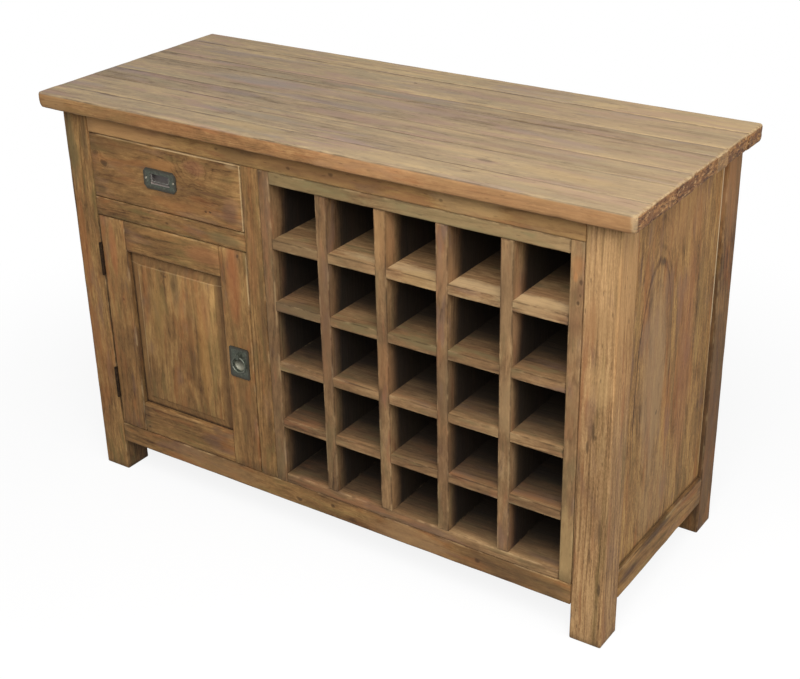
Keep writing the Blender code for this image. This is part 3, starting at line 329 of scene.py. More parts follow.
    if look["weathered"]:
        colour = spotted(colour, look["edgeMarks"])
        colour = weatherTop(local, parts, centre, half, look, colour, ring, stain, fibre)
    colour = spotted(colour, look["marks"])
    # painted shade on the sloped border round a raised field
    if look["border"]:
        atField, below, shade, strength = look["border"]
        bevel = (deep + centre[face]).ramp(atField, below)
        colour = colour.blend(bevel * strength * (0.8 + mottle * 0.4), shade)
    # painted shade inside the rack's cells: darker with depth behind the front, beginning deeper high up
    if look["shadeInside"]:
        outerEnd, innerEnd, strength, later = look["shadeInside"]
        depthIn = parts[1] + centre.y + (patch - 0.5) * 0.016 + (mottle - 0.5) * 0.008
        depthIn = depthIn - (parts[2] + centre.z).ramp(*look["highUp"]) * later
        dim = depthIn.ramp(outerEnd, innerEnd) * strength
        if look["rightOf"] is not None:
            dim = dim * (parts[0] + centre.x).ramp(look["rightOf"] - 0.003, look["rightOf"] + 0.003)
        colour = colour.blend(dim, look["shadeInsideTint"])
    colour = colour.blend(check * 0.8, look["checkTint"])
    if core is not None:
        colour = colour.blend(core, look["knotTint"])
        height = height - core * 0.8
    # lines along given planes: dark joints, painted shade in recesses and reveals, and painted highlights
    # along lit arrises
    for axis, place, reach, shade, strength, *span in look["seamsAndPaintedLight"]:
        nearTo = abs(parts[axis] - (place - centre[axis])).ramp(reach, reach * 0.3)
        for begins, ends in span:
            middle, reachAlong = (begins + ends) / 2 - centre[grain], (ends - begins) / 2
            nearTo = nearTo * abs(along - middle).ramp(reachAlong, reachAlong * 0.8)
        colour = colour.blend(nearTo * (mottle * 0.8 + 0.55) * strength, shade)

    # wear along the arrises, and grime where boards meet
    gaps = [half[i] - abs(parts[i]) for i in range(3)]
    if look["weathered"]:
        gaps[1] = gaps[1] + (0.0 if look["outer"] else 1.0)
    smaller, larger = gaps[0].least(gaps[1]), gaps[0].most(gaps[1])
    arris = smaller.most(larger.least(gaps[2]))
    edgeWorn = arris.ramp(*look["wornWithin"]) * rub.ramp(0.48, 0.64) * look["worn"]
    edgeDark = arris.ramp(*look["grimeWithin"]) * rub.ramp(0.62, 0.42) * look["grime"]
    colour = colour.blend(edgeWorn, look["wornTint"])
    colour = colour.blend(edgeDark, look["grimeTint"])

    feed(shader, "Base Color", colour)
    feed(shader, "Roughness", (fibre - 0.5) * 0.25 + ring * 0.06 + look["roughness"])
    shader.inputs["Specular IOR Level"].default_value = look["shine"]
    bump(shader, height, look["relief"])
    return material


# The sun-bleached upper face of the slab, and its rough sawn ends; the patterns are unpacked in this order
weatherFigure = dict(
    band=(62, 62, 3.6, 3.5, 0.6), wide=(20, 20, 1.5, 2.0, 0.5), smear=(110, 110, 30, 3.0, 0.6),
    grit=(260, 260, 100, 2.0, 0.6), pink=(42, 42, 6, 2.5, 0.6), dusk=(34, 34, 4.5, 2.0, 0.55),
    line=(190, 190, 5.0, 2.5, 0.6), crack=(80, 80, 1.6, 1.0, 0.5),
    broken=(12, 12, 9, 3.0, 0.6),  # where the cracks show
    fade=(10, 10, 7, 3.0, 0.6), crumb=(150, 150, 150, 3.0, 0.6),
    rough=(90, 150, 90, 4.0, 0.65, 0.6), hollows=(26, 60, 60, 2.0, 0.6, 0.8),
    holes=(46, 150, 46, 3.0, 0.6, 1.2), chips=(120, 200, 120, 2.0, 0.6),
)
weather = dict(
    faceStops=[
        (0.2, (96, 78, 58)), (0.34, (128, 109, 85)), (0.44, (145, 125, 99)),
        (0.53, (156, 135, 106)), (0.62, (167, 144, 111)), (0.76, (186, 160, 120)),
    ],
    endStops=[(0.32, (88, 56, 36)), (0.46, (132, 92, 58)), (0.57, (158, 116, 74)), (0.7, (196, 156, 104))],
    upperFace=(0.7958, 0.7986), paleAndLitRightFrom=(-0.2, 0.8), joint=(0.0022, 0.0002),
    tornFrom=(0.599, 0.603), splinterFrom=(0.599, 0.604), rightEnd=(0.5995, 0.6035),
    leftEnd=(-0.5985, -0.6025), shadedArrisesLeft=(-0.6025, -0.606), shadedArrisesRear=(0.2435, 0.247),
)


def weatherTop(local, parts, centre, half, look, colour, ring, stain, fibre):
    placeX, placeY, placeZ = (part + centre[i] for i, part in enumerate(parts))
    clouds = [local.cloud(made) for made in weatherFigure.values()]
    band, wide, smear, grit, pink, dusk, line, crack = clouds[:8]
    broken, fade, crumb, rough, hollows, holes, chips = clouds[8:]
    level = (
        (band - 0.5) * 0.66
        + (wide - 0.5) * 0.56
        + (fibre - 0.5) * 0.2
        + (smear - 0.5) * 0.46
        + (grit - 0.5) * 0.24
        - (ring - 0.25) * 0.14
        + look["bleach"]
        + 0.5
    )
    bleached = level.colours(weather["faceStops"])
    for cloud, begins, ends, strength, shade in (
        (pink, 0.52, 0.66, 0.6, (158, 128, 112)),
        (pink, 0.47, 0.33, 0.5, (150, 136, 108)),
        (dusk, 0.55, 0.68, 0.5, (140, 124, 116)),
        (dusk, 0.43, 0.32, 0.45, (176, 150, 114)),
    ):
        bleached = bleached.blend(cloud.ramp(begins, ends) * strength, shade)
    # lighter and yellower towards the right end, with fainter cracks and joints there: painted light
    # falling from the right, with some of the wood's own paler tone
    paleAndLitRight = (parts[0] + (wide - 0.5) * 0.8).ramp(*weather["paleAndLitRightFrom"])
    bleached = bleached.blend(paleAndLitRight * 0.34, (184, 154, 114))
    bleached = bleached.blend(line.ramp(0.62, 0.74) * 0.42, (104, 80, 58))
    bleached = bleached.blend(stain * 0.34, (118, 94, 72))
    crack = abs(crack - 0.5).ramp(0.0075, 0.0015) * broken.ramp(0.54, 0.66)
    bleached = bleached.blend(crack * (0.8 - paleAndLitRight * 0.5), (76, 54, 38))
    seam = (half.y - abs(parts[1])).ramp(*weather["joint"])
    seam = seam * (fade.ramp(0.43, 0.62) * 0.66 + 0.12) * (1.0 - paleAndLitRight * 0.4)
    bleached = bleached.blend(seam, (70, 50, 34))
    torn = (placeX + (crumb - 0.5) * 0.02).ramp(*weather["tornFrom"])
    bleached = bleached.blend(torn * 0.42, (200, 170, 124))
    # painted shade on the rounded arrises at the left end and along the back, which turn away from the
    # light
    shadedArrises = placeX.ramp(*weather["shadedArrisesLeft"]).most(placeY.ramp(*weather["shadedArrisesRear"]))
    bleached = bleached.blend(shadedArrises * (crumb * 0.5 + 0.35), (88, 78, 60))
    onTop = placeZ.ramp(*weather["upperFace"])
    colour = colour.blend(onTop, bleached)
    splinter = (placeX + (crumb - 0.5) * 0.024).ramp(*weather["splinterFrom"])
    splinter = splinter * (crumb + smear - 0.5).ramp(0.46, 0.6)
    colour = colour.blend(splinter * 0.55, (116, 88, 58))
    ends = rough.colours(weather["endStops"])
    ends = ends.blend(hollows.ramp(0.5, 0.6) * 0.6, (92, 58, 40))
    ends = ends.blend(holes.ramp(0.5, 0.6) * 0.8, (66, 42, 30))
    ends = ends.blend(chips.ramp(0.6, 0.7) * 0.55, (204, 172, 126))
    ends = ends.blend(look["paleEnd"], (170, 138, 98))
    # the left end is darker and more olive: painted shade on the end that faces away from the light
    atLeft = placeX.ramp(*weather["leftEnd"])
    ends = ends.blend(atLeft * 0.75, (92, 80, 50))
    atEnd = placeX.ramp(*weather["rightEnd"]).most(atLeft) * (1 - onTop)
    return colour.blend(atEnd, ends)


# Cast and drawn fittings, dull with age
metalFigure = dict(mottle=(260, 260, 260, 4.0, 0.65), blotch=(70, 70, 70, 2.0, 0.5))
metalBasics = dict(
    stops=(0.3, 0.5, 0.7), patina=0.4, roughness=0.55, metallic=0.4, relief=0.0001, shine=0.5,
)
# The dark line round a plate that is let into the wood
rimBasics = dict(tint=(46, 38, 26), fade=(0.0085, 0.001), strength=0.8, ragged=0.004)
pewter = dict(
    shades=((46, 47, 38), (70, 73, 62), (104, 106, 92)), patina=0.5, patinaTint=(60, 68, 56),
    roughness=0.56, relief=0.0002,
)
hingeParts = ("frame_leaf", "door_leaf", "pin")
metals = {
    "drawerPewter": dict(
        pewter, nodes=("drawer_pull_plate",), rim=dict(middle=(-0.3408, 0.66775), half=(0.039, 0.01995)),
        # inside the cup, painted light on its walls, and painted shade at its back
        cup=dict(
            rim=(-0.2206, -0.2196), middle=0.666, reach=0.007, upper=(170, 154, 156), lower=(196, 182, 174),
            backFrom=(-0.215, -0.2132), back=(74, 70, 68), backShare=0.9,
        ),
    ),
    "doorPewter": dict(
        pewter, nodes=("door_pull_plate",), rim=dict(middle=(-0.1835, 0.3395), half=(0.023, 0.0315)),
        # inside the dish, a painted reflection low down, and painted shade high up and at its back
        cup=dict(
            rim=(-0.2207, -0.22), middle=0.3375, reach=0.0075, upper=(46, 46, 34), lower=(136, 133, 116),
            backFrom=(-0.217, -0.2145), back=(84, 82, 70), backShare=0.4,
        ),
    ),
    "bail": dict(
        nodes=("drawer_pull_bail",),
        shades=((70, 66, 60), (96, 92, 86), (134, 130, 122)), patinaTint=(74, 72, 64),
    ),
    "ring": dict(
        nodes=("door_pull_ring",),
        shades=((62, 64, 54), (92, 94, 82), (128, 128, 116)), patinaTint=(66, 72, 58),
        roughness=0.46, metallic=0.6,
    ),
    "darkIron": dict(
        nodes=["%s_hinge_%s" % (place, part) for place in ("upper", "lower") for part in hingeParts],
        shades=((24, 18, 12), (42, 31, 21), (68, 52, 36)), patinaTint=(52, 35, 22),
        roughness=0.9, metallic=0.0, relief=0.0002, shine=0.1,
    ),
    "brightSteel": dict(
        nodes=("drawer_pull_screw_left", "drawer_pull_screw_right"),
        shades=((96, 92, 78), (124, 118, 102), (150, 144, 128)), patinaTint=(116, 108, 88),
        roughness=0.5, metallic=0.5, relief=0.00005,
    ),
}


def agedMetal(name, look):
    look = {**metalBasics, **look}
    material, start, shader = newMaterial(name)
    spot = start.node("TexCoord", {}, "Object")
    x, y, z = spot.split()
    mottle, blotch = (spot.cloud(made) for made in metalFigure.values())
    colour = mottle.colours(list(zip(look["stops"], look["shades"])))
    colour = colour.blend(blotch.ramp(0.5, 0.7) * look["patina"], look["patinaTint"])
    # inside a cup: lighter low down, darker high up and at the back, as painted light, reflection and shade
    if "cup" in look:
        cup = look["cup"]
        rise = z.ramp(cup["middle"] + cup["reach"], cup["middle"] - cup["reach"])
        inner = start.blend(rise, cup["lower"], cup["upper"])
        inner = inner.blend(y.ramp(*cup["backFrom"]) * cup["backShare"], cup["back"])
        colour = colour.blend(y.ramp(*cup["rim"]) * (0.7 + mottle * 0.5), inner)
    if "rim" in look:
        rim = {**rimBasics, **look["rim"]}
        away = [rim["half"][i] - abs(wire - rim["middle"][i]) for i, wire in enumerate((x, z))]
        nearEdge = away[0].least(away[1]) + (blotch - 0.5) * rim["ragged"]
        colour = colour.blend(nearEdge.ramp(*rim["fade"]) * rim["strength"], rim["tint"])
    feed(shader, "Base Color", colour)
    feed(shader, "Roughness", (mottle - 0.5) * 0.5 + look["roughness"])
    shader.inputs["Metallic"].default_value = look["metallic"]
    shader.inputs["Specular IOR Level"].default_value = look["shine"]
    bump(shader, mottle, look["relief"])
    return material


for name, look in metals.items():
    metal = agedMetal(name, look)
    for node in look["nodes"]:
        nodes[node].material_slots[0].material = metal
print("fittings")


def newObject(name, data):
    made = bpy.data.objects.new(name, data)
    bpy.context.scene.collection.objects.link(made)
    return made


def meshObject(name, bm, material):
    mesh = bpy.data.meshes.new(name)
    bm.to_mesh(mesh)
    bm.free()
    mesh.materials.append(material)
    return newObject(name, mesh)


# How solids become wearable meshes, in metres and degrees
meshing = dict(merge=0.00002, flatWithin=0.6, cutSnap=0.00004, sharpFrom=50, near=0.0001)


# A bmesh of a node's mesh, merged, with its flat faces made whole again but none of them concave
def mergedCopy(node):
    bm = bmesh.new()
    bm.from_mesh(nodes[node].data)
    bmesh.ops.remove_doubles(bm, verts=bm.verts, dist=meshing["merge"])
    flat = math.radians(meshing["flatWithin"])
    bmesh.ops.dissolve_limit(bm, angle_limit=flat, verts=bm.verts, edges=bm.edges)
    bmesh.ops.connect_verts_concave(bm, faces=bm.faces)
    return bm


def sliceAt(bm, axis, places):
    normal = Vector()
    normal[axis] = 1
    for place in places:
        point = Vector()
        point[axis] = place
        geometry = bm.verts[:] + bm.edges[:] + bm.faces[:]
        bmesh.ops.bisect_plane(
            bm, geom=geometry, dist=meshing["cutSnap"], plane_co=point, plane_no=normal
        )


# A narrow flat or rounded band in place of the given edges
def easeEdges(bm, edges, width, segments):
    bmesh.ops.bevel(
        bm, geom=edges, offset=width, segments=segments, profile=0.5, affect="EDGES", material=-1
    )


wearBasics = dict(
    step=0.022,  # between the cuts along the board
    shoulders=(0.0035, 0.007, 0.009),  # how far in the cuts beside an arris lie
    reach=0.0042,  # how near an arris a point is worn
    bite=0.0011,  # the deepest usual wear
    nicks=0.0,  # extra depth of the odd nick
    nickFrom=0.28,  # how strong the noise of the nicks has to be before one shows
    nickPace=2.1,  # how much quicker the nicks change than the wear
    pace=26.0,  # how quickly the wear changes along an arris
    share=0.7,  # how much of the wear each of the two faces takes
)


def wearArrises(bm, low, high, wear, seed):
    shift = Vector((seed * 1.7, seed * 0.9, seed * 2.3))
    for vert in bm.verts:
        gaps = sorted((min(vert.co[i] - low[i], high[i] - vert.co[i]), i) for i in range(3))
        if gaps[1][0] > wear["reach"]:
            continue
        rub = noise.noise(vert.co * wear["pace"] + shift) * 0.5 + 0.5
        amount = wear["bite"] * rub * rub
        bite = noise.noise(vert.co * wear["pace"] * wear["nickPace"] - shift)
        if bite > wear["nickFrom"]:
            amount += wear["nicks"] * (bite - wear["nickFrom"]) * 2
        for _, i in gaps[:2]:
            inwards = 1 if vert.co[i] < (low[i] + high[i]) / 2 else -1
            vert.co[i] += inwards * amount * wear["share"]


# The normals that the solid brought along no longer fit the cut and worn mesh, so they go
def finishPiece(name, bm, node, look):
    for face in bm.faces:
        face.smooth = True
    for edge in bm.edges:
        edge.smooth = edge.calc_face_angle(0.0) < math.radians(meshing["sharpFrom"])
    piece = meshObject(name, bm, teak(name, node, look))
    if "custom_normal" in piece.data.attributes:
        piece.data.attributes.remove(piece.data.attributes["custom_normal"])
    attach(piece, bodyOf[node])
    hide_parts(node)


def steps(low, high, step):
    count = max(1, round((high - low) / step))
    return [low + (high - low) * i / count for i in range(1, count)]


def wornBoard(name, node, look, wear=None):
    wear = {**wearBasics, **(wear or {})}
    bm = mergedCopy(node)
    low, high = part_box(node)
    grain = look.get("grain", teakBasics["grain"])
    sliceAt(bm, grain, steps(low[grain], high[grain], wear["step"]))
    for axis in range(3):
        if axis != grain:
            for shoulder in wear["shoulders"]:
                sliceAt(bm, axis, (low[axis] + shoulder, high[axis] - shoulder))
    wearArrises(bm, low, high, wear, look["seed"])
    finishPiece(name, bm, node, look)


# The slab is seven boards, bleached above, warm along the front edge, torn at the right end
slab = dict(
    jointEase=0.0003,
    step=0.014,
    stepAcross=0.0065,
    cutsUp=(0.008, 0.015, 0.021),  # above the underside
    wear=dict(bite=0.0012, nicks=0.0022, reach=0.0045),
    joined=0.02,  # far enough beyond a joint that its arrises count as unworn
    endStep=(0.0, 0.0008, 0.0002, 0.0018, 0.0002, 0.0024, 0.0008),
    endRough=0.0018,
    endReach=0.012,
    tearPace=95, splinterPace=240, splinters=0.6,
    leftShare=(0.1, 0.2),  # of the steps and the roughness at the left end
    heights=(0.0, 0.0002, 0.0001, 0.0003, 0.0001, 0.0002, 0.0),
    # worn corners: board, left end or right, front or back, radius in plan, depth knocked off below
    corners=(
        (1, -1, -1, 0.0085, 0.0038), (1, 1, -1, 0.0045, 0.003),
        (7, -1, 1, 0.006, 0.003), (7, 1, 1, 0.009, 0.004),
    ),
    knockReach=0.013, knockAside=0.6, knockFade=1.3,
    cornerCuts=(0.002, 0.0045, 0.007, 0.0105, 0.015),
)

slabBoards = [
    dict(
        seed=1.3, heart=(-0.02, -0.1, 0.01, 0.03), tone=0.02, red=0.45, olive=0.35,
        light=(196, 152, 100), middle=(154, 112, 71), dark=(88, 60, 38), reddish=(170, 112, 70),
        bleach=0.035,
        edgeMarks=(
            (0.42, -0.2475, 0.26, 0.05, (164, 124, 84), 0.6),
            (-0.565, -0.2475, 0.035, 0.05, (180, 142, 98), 0.5),
            (-0.48, -0.2475, 0.14, 0.05, (140, 108, 68), 0.35),
            (-0.3, -0.2475, 0.1, 0.05, (150, 104, 64), 0.35),
            (0.13, -0.2475, 0.13, 0.05, (196, 150, 104), 0.4),
        ),
        marks=(
            (-0.475, -0.193, 0.03, 0.005, (88, 64, 44), 0.55),
            (-0.14, -0.205, 0.09, 0.016, (178, 150, 104), 0.4),
            (0.3, -0.208, 0.012, 0.004, (80, 58, 40), 0.5),
            (0.605, -0.2475, 0.0085, 0.008, (206, 180, 138), 0.4),
        ),
    ),
    dict(
        seed=2.9, heart=(0.06, -0.05, 0.02, 0.0), bleach=0.0,
        marks=(
            (-0.16, -0.15, 0.13, 0.012, (138, 126, 110), 0.5), (0.3, -0.15, 0.02, 0.006, (92, 78, 66), 0.6),
            (0.44, -0.15, 0.1, 0.02, (188, 158, 112), 0.35),
        ),
    ),
    dict(
        seed=4.1, heart=(-0.07, -0.06, -0.02, 0.02), bleach=-0.035,
        marks=(
            (-0.02, -0.075, 0.12, 0.018, (152, 122, 108), 0.55),
            (0.33, -0.08, 0.14, 0.012, (144, 118, 96), 0.5),
        ),
    ),
    dict(
        seed=5.7, heart=(0.01, -0.08, 0.03, 0.03), bleach=-0.005,
        marks=(
            (-0.3, 0.015, 0.14, 0.02, (140, 128, 118), 0.5), (0.02, 0.02, 0.2, 0.018, (152, 124, 114), 0.5),
        ),
    ),
    dict(
        seed=7.2, heart=(0.09, -0.04, 0.0, 0.0), bleach=-0.055, paleEnd=0.38,
        marks=(
            (-0.02, 0.07, 0.16, 0.012, (132, 122, 108), 0.5),
            (0.36, 0.065, 0.14, 0.012, (146, 122, 104), 0.4),
            (-0.5, 0.055, 0.1, 0.02, (176, 152, 118), 0.5),
        ),
    ),
    dict(seed=8.8, heart=(-0.03, -0.09, -0.02, 0.03), bleach=0.035),
    dict(seed=9.6, heart=(0.05, -0.07, 0.01, 0.02), bleach=0.15),
]


# Maps the corner's square in plan onto a quarter disc, then lifts and pulls in its lower end
def wearCorner(co, low, high, end, side, radius, knock):
    corner = Vector((high.x if end > 0 else low.x, high.y if side > 0 else low.y, low.z))
    inX = radius - abs(corner.x - co.x)
    inY = radius - abs(corner.y - co.y)
    if inX > 0 and inY > 0:
        shrink = 1 - max(inX, inY) / math.hypot(inX, inY)
        co.x -= end * inX * shrink
        co.y -= side * inY * shrink
    away = (co - corner).length / slab["knockReach"]
    if away < 1:
        aside = slab["knockAside"]
        co += Vector((-end * aside, -side * aside, 1.0)) * knock * (1 - away) ** slab["knockFade"]


# The upper arrises that meet the next board get a small ease, so that a joint reads as a fine groove
def easeJoints(bm, low, high, first, last):
    joints, near = [], meshing["near"]
    for edge in bm.edges:
        a, b = edge.verts[0].co, edge.verts[1].co
        runs = abs(a.x - b.x) > 0.5 and min(a.z, b.z) > high.z - near
        atFront = not first and max(a.y, b.y) < low.y + near
        atBack = not last and min(a.y, b.y) > high.y - near
        if runs and (atFront or atBack):
            joints.append(edge)
    easeEdges(bm, joints, slab["jointEase"], 1)


# Tears the sawn ends, most at the right, and gives each board its own length and height
def tearEnds(bm, low, high, number, seed):
    shift = Vector((seed, seed * 2, 0))
    stepLeft, roughLeft = slab["leftShare"]
    for vert in bm.verts:
        for side in (-1, 1):
            away = abs((high.x if side > 0 else low.x) - vert.co.x)
            if away < slab["endReach"]:
                fade = 1 - away / slab["endReach"]
                torn = noise.noise(vert.co * slab["tearPace"] + shift) * 0.5 + 0.5
                torn += slab["splinters"] * max(0, noise.noise(vert.co * slab["splinterPace"] + shift))
                stepIn = slab["endStep"][number - 1] if side > 0 else slab["endStep"][-number] * stepLeft
                rough = slab["endRough"] * torn * (1 if side > 0 else roughLeft)
                vert.co.x -= side * fade * (stepIn + rough)
        if vert.co.z > high.z - 0.0005:
            vert.co.z -= slab["heights"][number - 1]


def slabBoard(number, look):
    node = "top_board_%d" % number
    first, last = number == 1, number == len(slabBoards)
    look = {**levelFlat, "weathered": True, "worn": 0.12, "outer": first or last, "paleEnd": 0.0, **look}
    bm = mergedCopy(node)
    low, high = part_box(node)
    easeJoints(bm, low, high, first, last)
    sliceAt(bm, 0, steps(low.x, high.x, slab["step"]))
    for cut in slab["cornerCuts"]:
        sliceAt(bm, 0, (low.x + cut, high.x - cut))
        if first or last:
            sliceAt(bm, 1, (low.y + cut if first else high.y - cut,))
    sliceAt(bm, 1, steps(low.y, high.y, slab["stepAcross"]))
    sliceAt(bm, 2, [low.z + up for up in slab["cutsUp"]])
    tearEnds(bm, low, high, number, look["seed"])
    outerLow = low - Vector((0, 0 if first else slab["joined"], 0))
    outerHigh = high + Vector((0, 0 if last else slab["joined"], 0))
    wearArrises(bm, outerLow, outerHigh, {**wearBasics, **slab["wear"]}, look["seed"])
    for board, *corner in slab["corners"]:
        if board == number:
            for vert in bm.verts:
                wearCorner(vert.co, low, high, *corner)
    finishPiece("slabBoard%d" % number, bm, node, look)


for number, look in enumerate(slabBoards, 1):
    slabBoard(number, look)
print("slab: seven boards")

# dark brown for dark joints, and for painted shade in recesses, reveals and under the slab
dirtAndShade = (38, 26, 18)
# pale cream for painted highlights along lit, partly worn arrises
highlightCream = (206, 176, 130)
carcass = {
    "legFrontLeft": ("leg_front_left", dict(
        uprightFront, seed=11.0, heart=(0.05, 0.06, 0.01, 0.01), olive=0.6, tone=-0.05, fibre=0.5,
        fleck=0.24, streaks=0.8,
        marks=(
            (0.7, -0.56, 0.1, 0.014, (98, 86, 58), 0.5), (0.71, -0.525, 0.06, 0.008, (80, 64, 44), 0.5),
            (0.5, -0.56, 0.12, 0.012, (158, 96, 56), 0.45), (0.25, -0.545, 0.1, 0.02, (150, 98, 58), 0.3),
        ),
        seamsAndPaintedLight=(
            (2, 0.0, 0.012, dirtAndShade, 0.35), (0, -0.5135, 0.0028, dirtAndShade, 0.75, (0.1, 0.575)),
            (0, -0.5135, 0.002, dirtAndShade, 0.5, (-0.05, 0.1)),
        ),
    )),
    "legFrontRight": ("leg_front_right", dict(
        uprightFront, seed=12.4, heart=(-0.16, 0.22, 0.012, 0.0), tone=0.12, ring=0.004,
        ringStrength=0.6, ripple=0.0014, sway=0.01, patch=0.35, blotch=0.55, fibre=0.62, fleck=0.4,
        streaks=0.9, checks=0.6, olive=0.4, red=0.55, reddish=(158, 106, 68), light=(196, 156, 108),
        middle=(150, 114, 75), grime=0.1, run=3.0, worn=0.08,
        marks=(
            (0.68, 0.55, 0.14, 0.06, (196, 156, 108), 0.3),
            (0.5, 0.545, 0.045, 0.03, (196, 158, 108), 0.35),
            (0.32, 0.545, 0.14, 0.06, (120, 92, 60), 0.22), (0.6, 0.545, 0.04, 0.03, (150, 116, 76), 0.35),
            (0.6, 0.5735, 0.17, 0.005, (186, 138, 86), 0.3),
            (0.415, 0.541, 0.022, 0.003, (70, 52, 36), 0.7),
            (0.385, 0.532, 0.012, 0.003, (70, 52, 36), 0.6), (0.235, 0.56, 0.03, 0.003, (74, 56, 40), 0.6),
            (0.12, 0.565, 0.014, 0.003, (60, 44, 32), 0.7), (0.18, 0.545, 0.02, 0.002, (70, 52, 38), 0.6),
        ),
        knots=((0.405, 0.545, 0.004, 0.5),), seamsAndPaintedLight=((2, 0.0, 0.012, dirtAndShade, 0.3),),
    )),
    "legRearLeft": ("leg_rear_left", dict(uprightSide, seed=13.1, heart=(0.04, 0.05, 0.02, 0.05))),
    "legRearRight": ("leg_rear_right", dict(
        uprightSide, seed=14.6, heart=(-0.05, -0.16, 0.0, -0.02), tone=-0.22, ring=0.006, fibre=0.45,
        fleck=0.3,
        marks=((0.7, 0.21, 0.12, 0.05, (158, 118, 78), 0.5), (0.24, 0.21, 0.26, 0.06, (86, 62, 42), 0.55)),
        # painted shade in the reveal beside the recessed side panel
        seamsAndPaintedLight=((1, 0.1875, 0.005, dirtAndShade, 0.5, (0.0, 0.56)),),
    )),
    "topRailFront": ("front_top_rail", dict(
        # tone is raised: painted light against the shade that the slab's overhang casts on the rail
        seed=15.2, heart=(0.03, 0.05, 0.02, 0.02), tone=0.34, red=0.6, olive=0.25,
        reddish=(146, 98, 64),
        knots=(
            (0.046, 0.75, 0.004, 0.6), (-0.043, 0.745, 0.003, 0.6), (0.26, 0.748, 0.003, 0.5),
            (-0.2, 0.752, 0.0035, 0.5),
        ),
        marks=(
            (-0.44, 0.75, 0.14, 0.04, (190, 144, 96), 0.7), (0.0, 0.74, 0.16, 0.01, (92, 64, 44), 0.3),
            (0.02, 0.755, 0.2, 0.02, (132, 90, 60), 0.45), (0.31, 0.75, 0.07, 0.04, (186, 154, 108), 0.5),
            (0.46, 0.75, 0.1, 0.04, (134, 102, 70), 0.4), (-0.16, 0.75, 0.05, 0.04, (104, 78, 52), 0.5),
        ),
        # a thin dark line under the slab: the joint, with painted shade from the overhang
        seamsAndPaintedLight=((2, 0.771, 0.003, dirtAndShade, 0.35),),
    )),
    "bottomRailFront": ("front_bottom_rail", dict(
        seed=16.9, heart=(-0.03, 0.06, 0.03, 0.02), tone=-0.04,
        knots=((-0.0602, 0.082, 0.005, 0.7), (0.018, 0.094, 0.004, 0.7), (0.33, 0.09, 0.004, 0.5)),
        marks=(
            (0.4, 0.09, 0.14, 0.03, (84, 64, 46), 0.5), (-0.27, 0.09, 0.14, 0.03, (160, 126, 86), 0.4),
            (0.19, 0.085, 0.1, 0.03, (166, 130, 92), 0.5),
        ),
    )),
    "topRailRear": ("rear_top_rail", dict(seed=17.7)),
    "bottomRailRear": ("rear_bottom_rail", dict(seed=18.3)),
    "drawerRail": ("drawer_rail", dict(
        seed=19.5, heart=(0.07, 0.05, 0.02, 0.05), olive=0.7, tone=-0.14,
        knots=((-0.335, 0.586, 0.003, 0.6),),
        marks=((-0.2, 0.582, 0.05, 0.012, (112, 98, 66), 0.55),),
    )),
    "middleStile": ("middle_stile", dict(
        uprightFront, seed=20.2, heart=(0.06, 0.07, 0.0, 0.03), olive=0.5,
        marks=(
            (0.56, -0.135, 0.1, 0.01, (150, 98, 62), 0.35), (0.45, -0.12, 0.12, 0.006, (84, 64, 44), 0.4),
        ),
    )),
    "sideRailLeft": ("side_rail_left", dict(frontToBack, seed=21.8, heart=(0.03, 0.06, 0.02, 0.05))),
    "sideRailRight": ("side_rail_right", dict(
        frontToBack, seed=22.6, heart=(0.03, -0.06, 0.02, 0.05), streaks=0.8, tone=0.03,
        marks=(
            (-0.03, 0.118, 0.09, 0.008, (56, 40, 28), 0.7), (-0.12, 0.098, 0.05, 0.006, (70, 50, 36), 0.6),
        ),
        seamsAndPaintedLight=((2, 0.125, 0.004, dirtAndShade, 0.5),),
    )),
    "sidePanelLeft": ("side_panel_left", dict(
        uprightSide, seed=23.9, heart=(0.02, 0.11, 0.02, 0.09), ring=0.012,
        # painted shade along the recessed panel's edges at the legs and the rail
        seamsAndPaintedLight=((1, 0.1875, 0.008, dirtAndShade, 0.6), (1, -0.1595, 0.006, dirtAndShade, 0.5), (2, 0.125, 0.01, dirtAndShade, 0.5)),
    )),
    "sidePanelRight": ("side_panel_right", dict(
        uprightSide, seed=24.5, heart=(-0.066, 0.0149, 0.0, 0.2956), ring=0.0105, ripple=0.0046,
        sway=0.008, ringStrength=0.18, tone=0.04, red=0.45, olive=0.3, mauve=0.5, streaks=0.9, blotch=0.8,
        fibre=0.54, mottle=0.5, fleck=0.44, run=1.8, ringsFrom=(0.25, 0.42),
        rings=((0.0665, 0.003, 0.62), (0.074, 0.0022, 0.2), (0.088, 0.002, 0.22), (0.055, 0.0016, 0.16)),
        marks=(
            (0.45, -0.052, 0.2, 0.054, (160, 130, 96), 0.6), (0.42, 0.075, 0.24, 0.034, (150, 98, 68), 0.4),
            (0.2, -0.02, 0.1, 0.08, (142, 116, 86), 0.35), (0.7, 0.04, 0.06, 0.1, (166, 122, 80), 0.4),
            (0.53, 0.001, 0.085, 0.008, (96, 70, 46), 0.55), (0.43, 0.007, 0.06, 0.007, (100, 74, 50), 0.5),
        ),
        knots=((0.368, -0.0315, 0.004, 0.6),),
        seamsAndPaintedLight=(
            # a painted highlight along the panel's lit rear edge, and painted shade along its front and
            # bottom edges
            (1, 0.1858, 0.003, (222, 200, 166), 0.8, (0.42, 0.765)),
            (1, 0.1858, 0.0026, (206, 182, 148), 0.4, (0.14, 0.44)), (1, -0.1595, 0.003, dirtAndShade, 0.35),
            (2, 0.125, 0.006, dirtAndShade, 0.5),
        ),
    )),
}
for name, (node, look) in carcass.items():
    wornBoard(name, node, look)
print("carcass: legs, rails and panels")
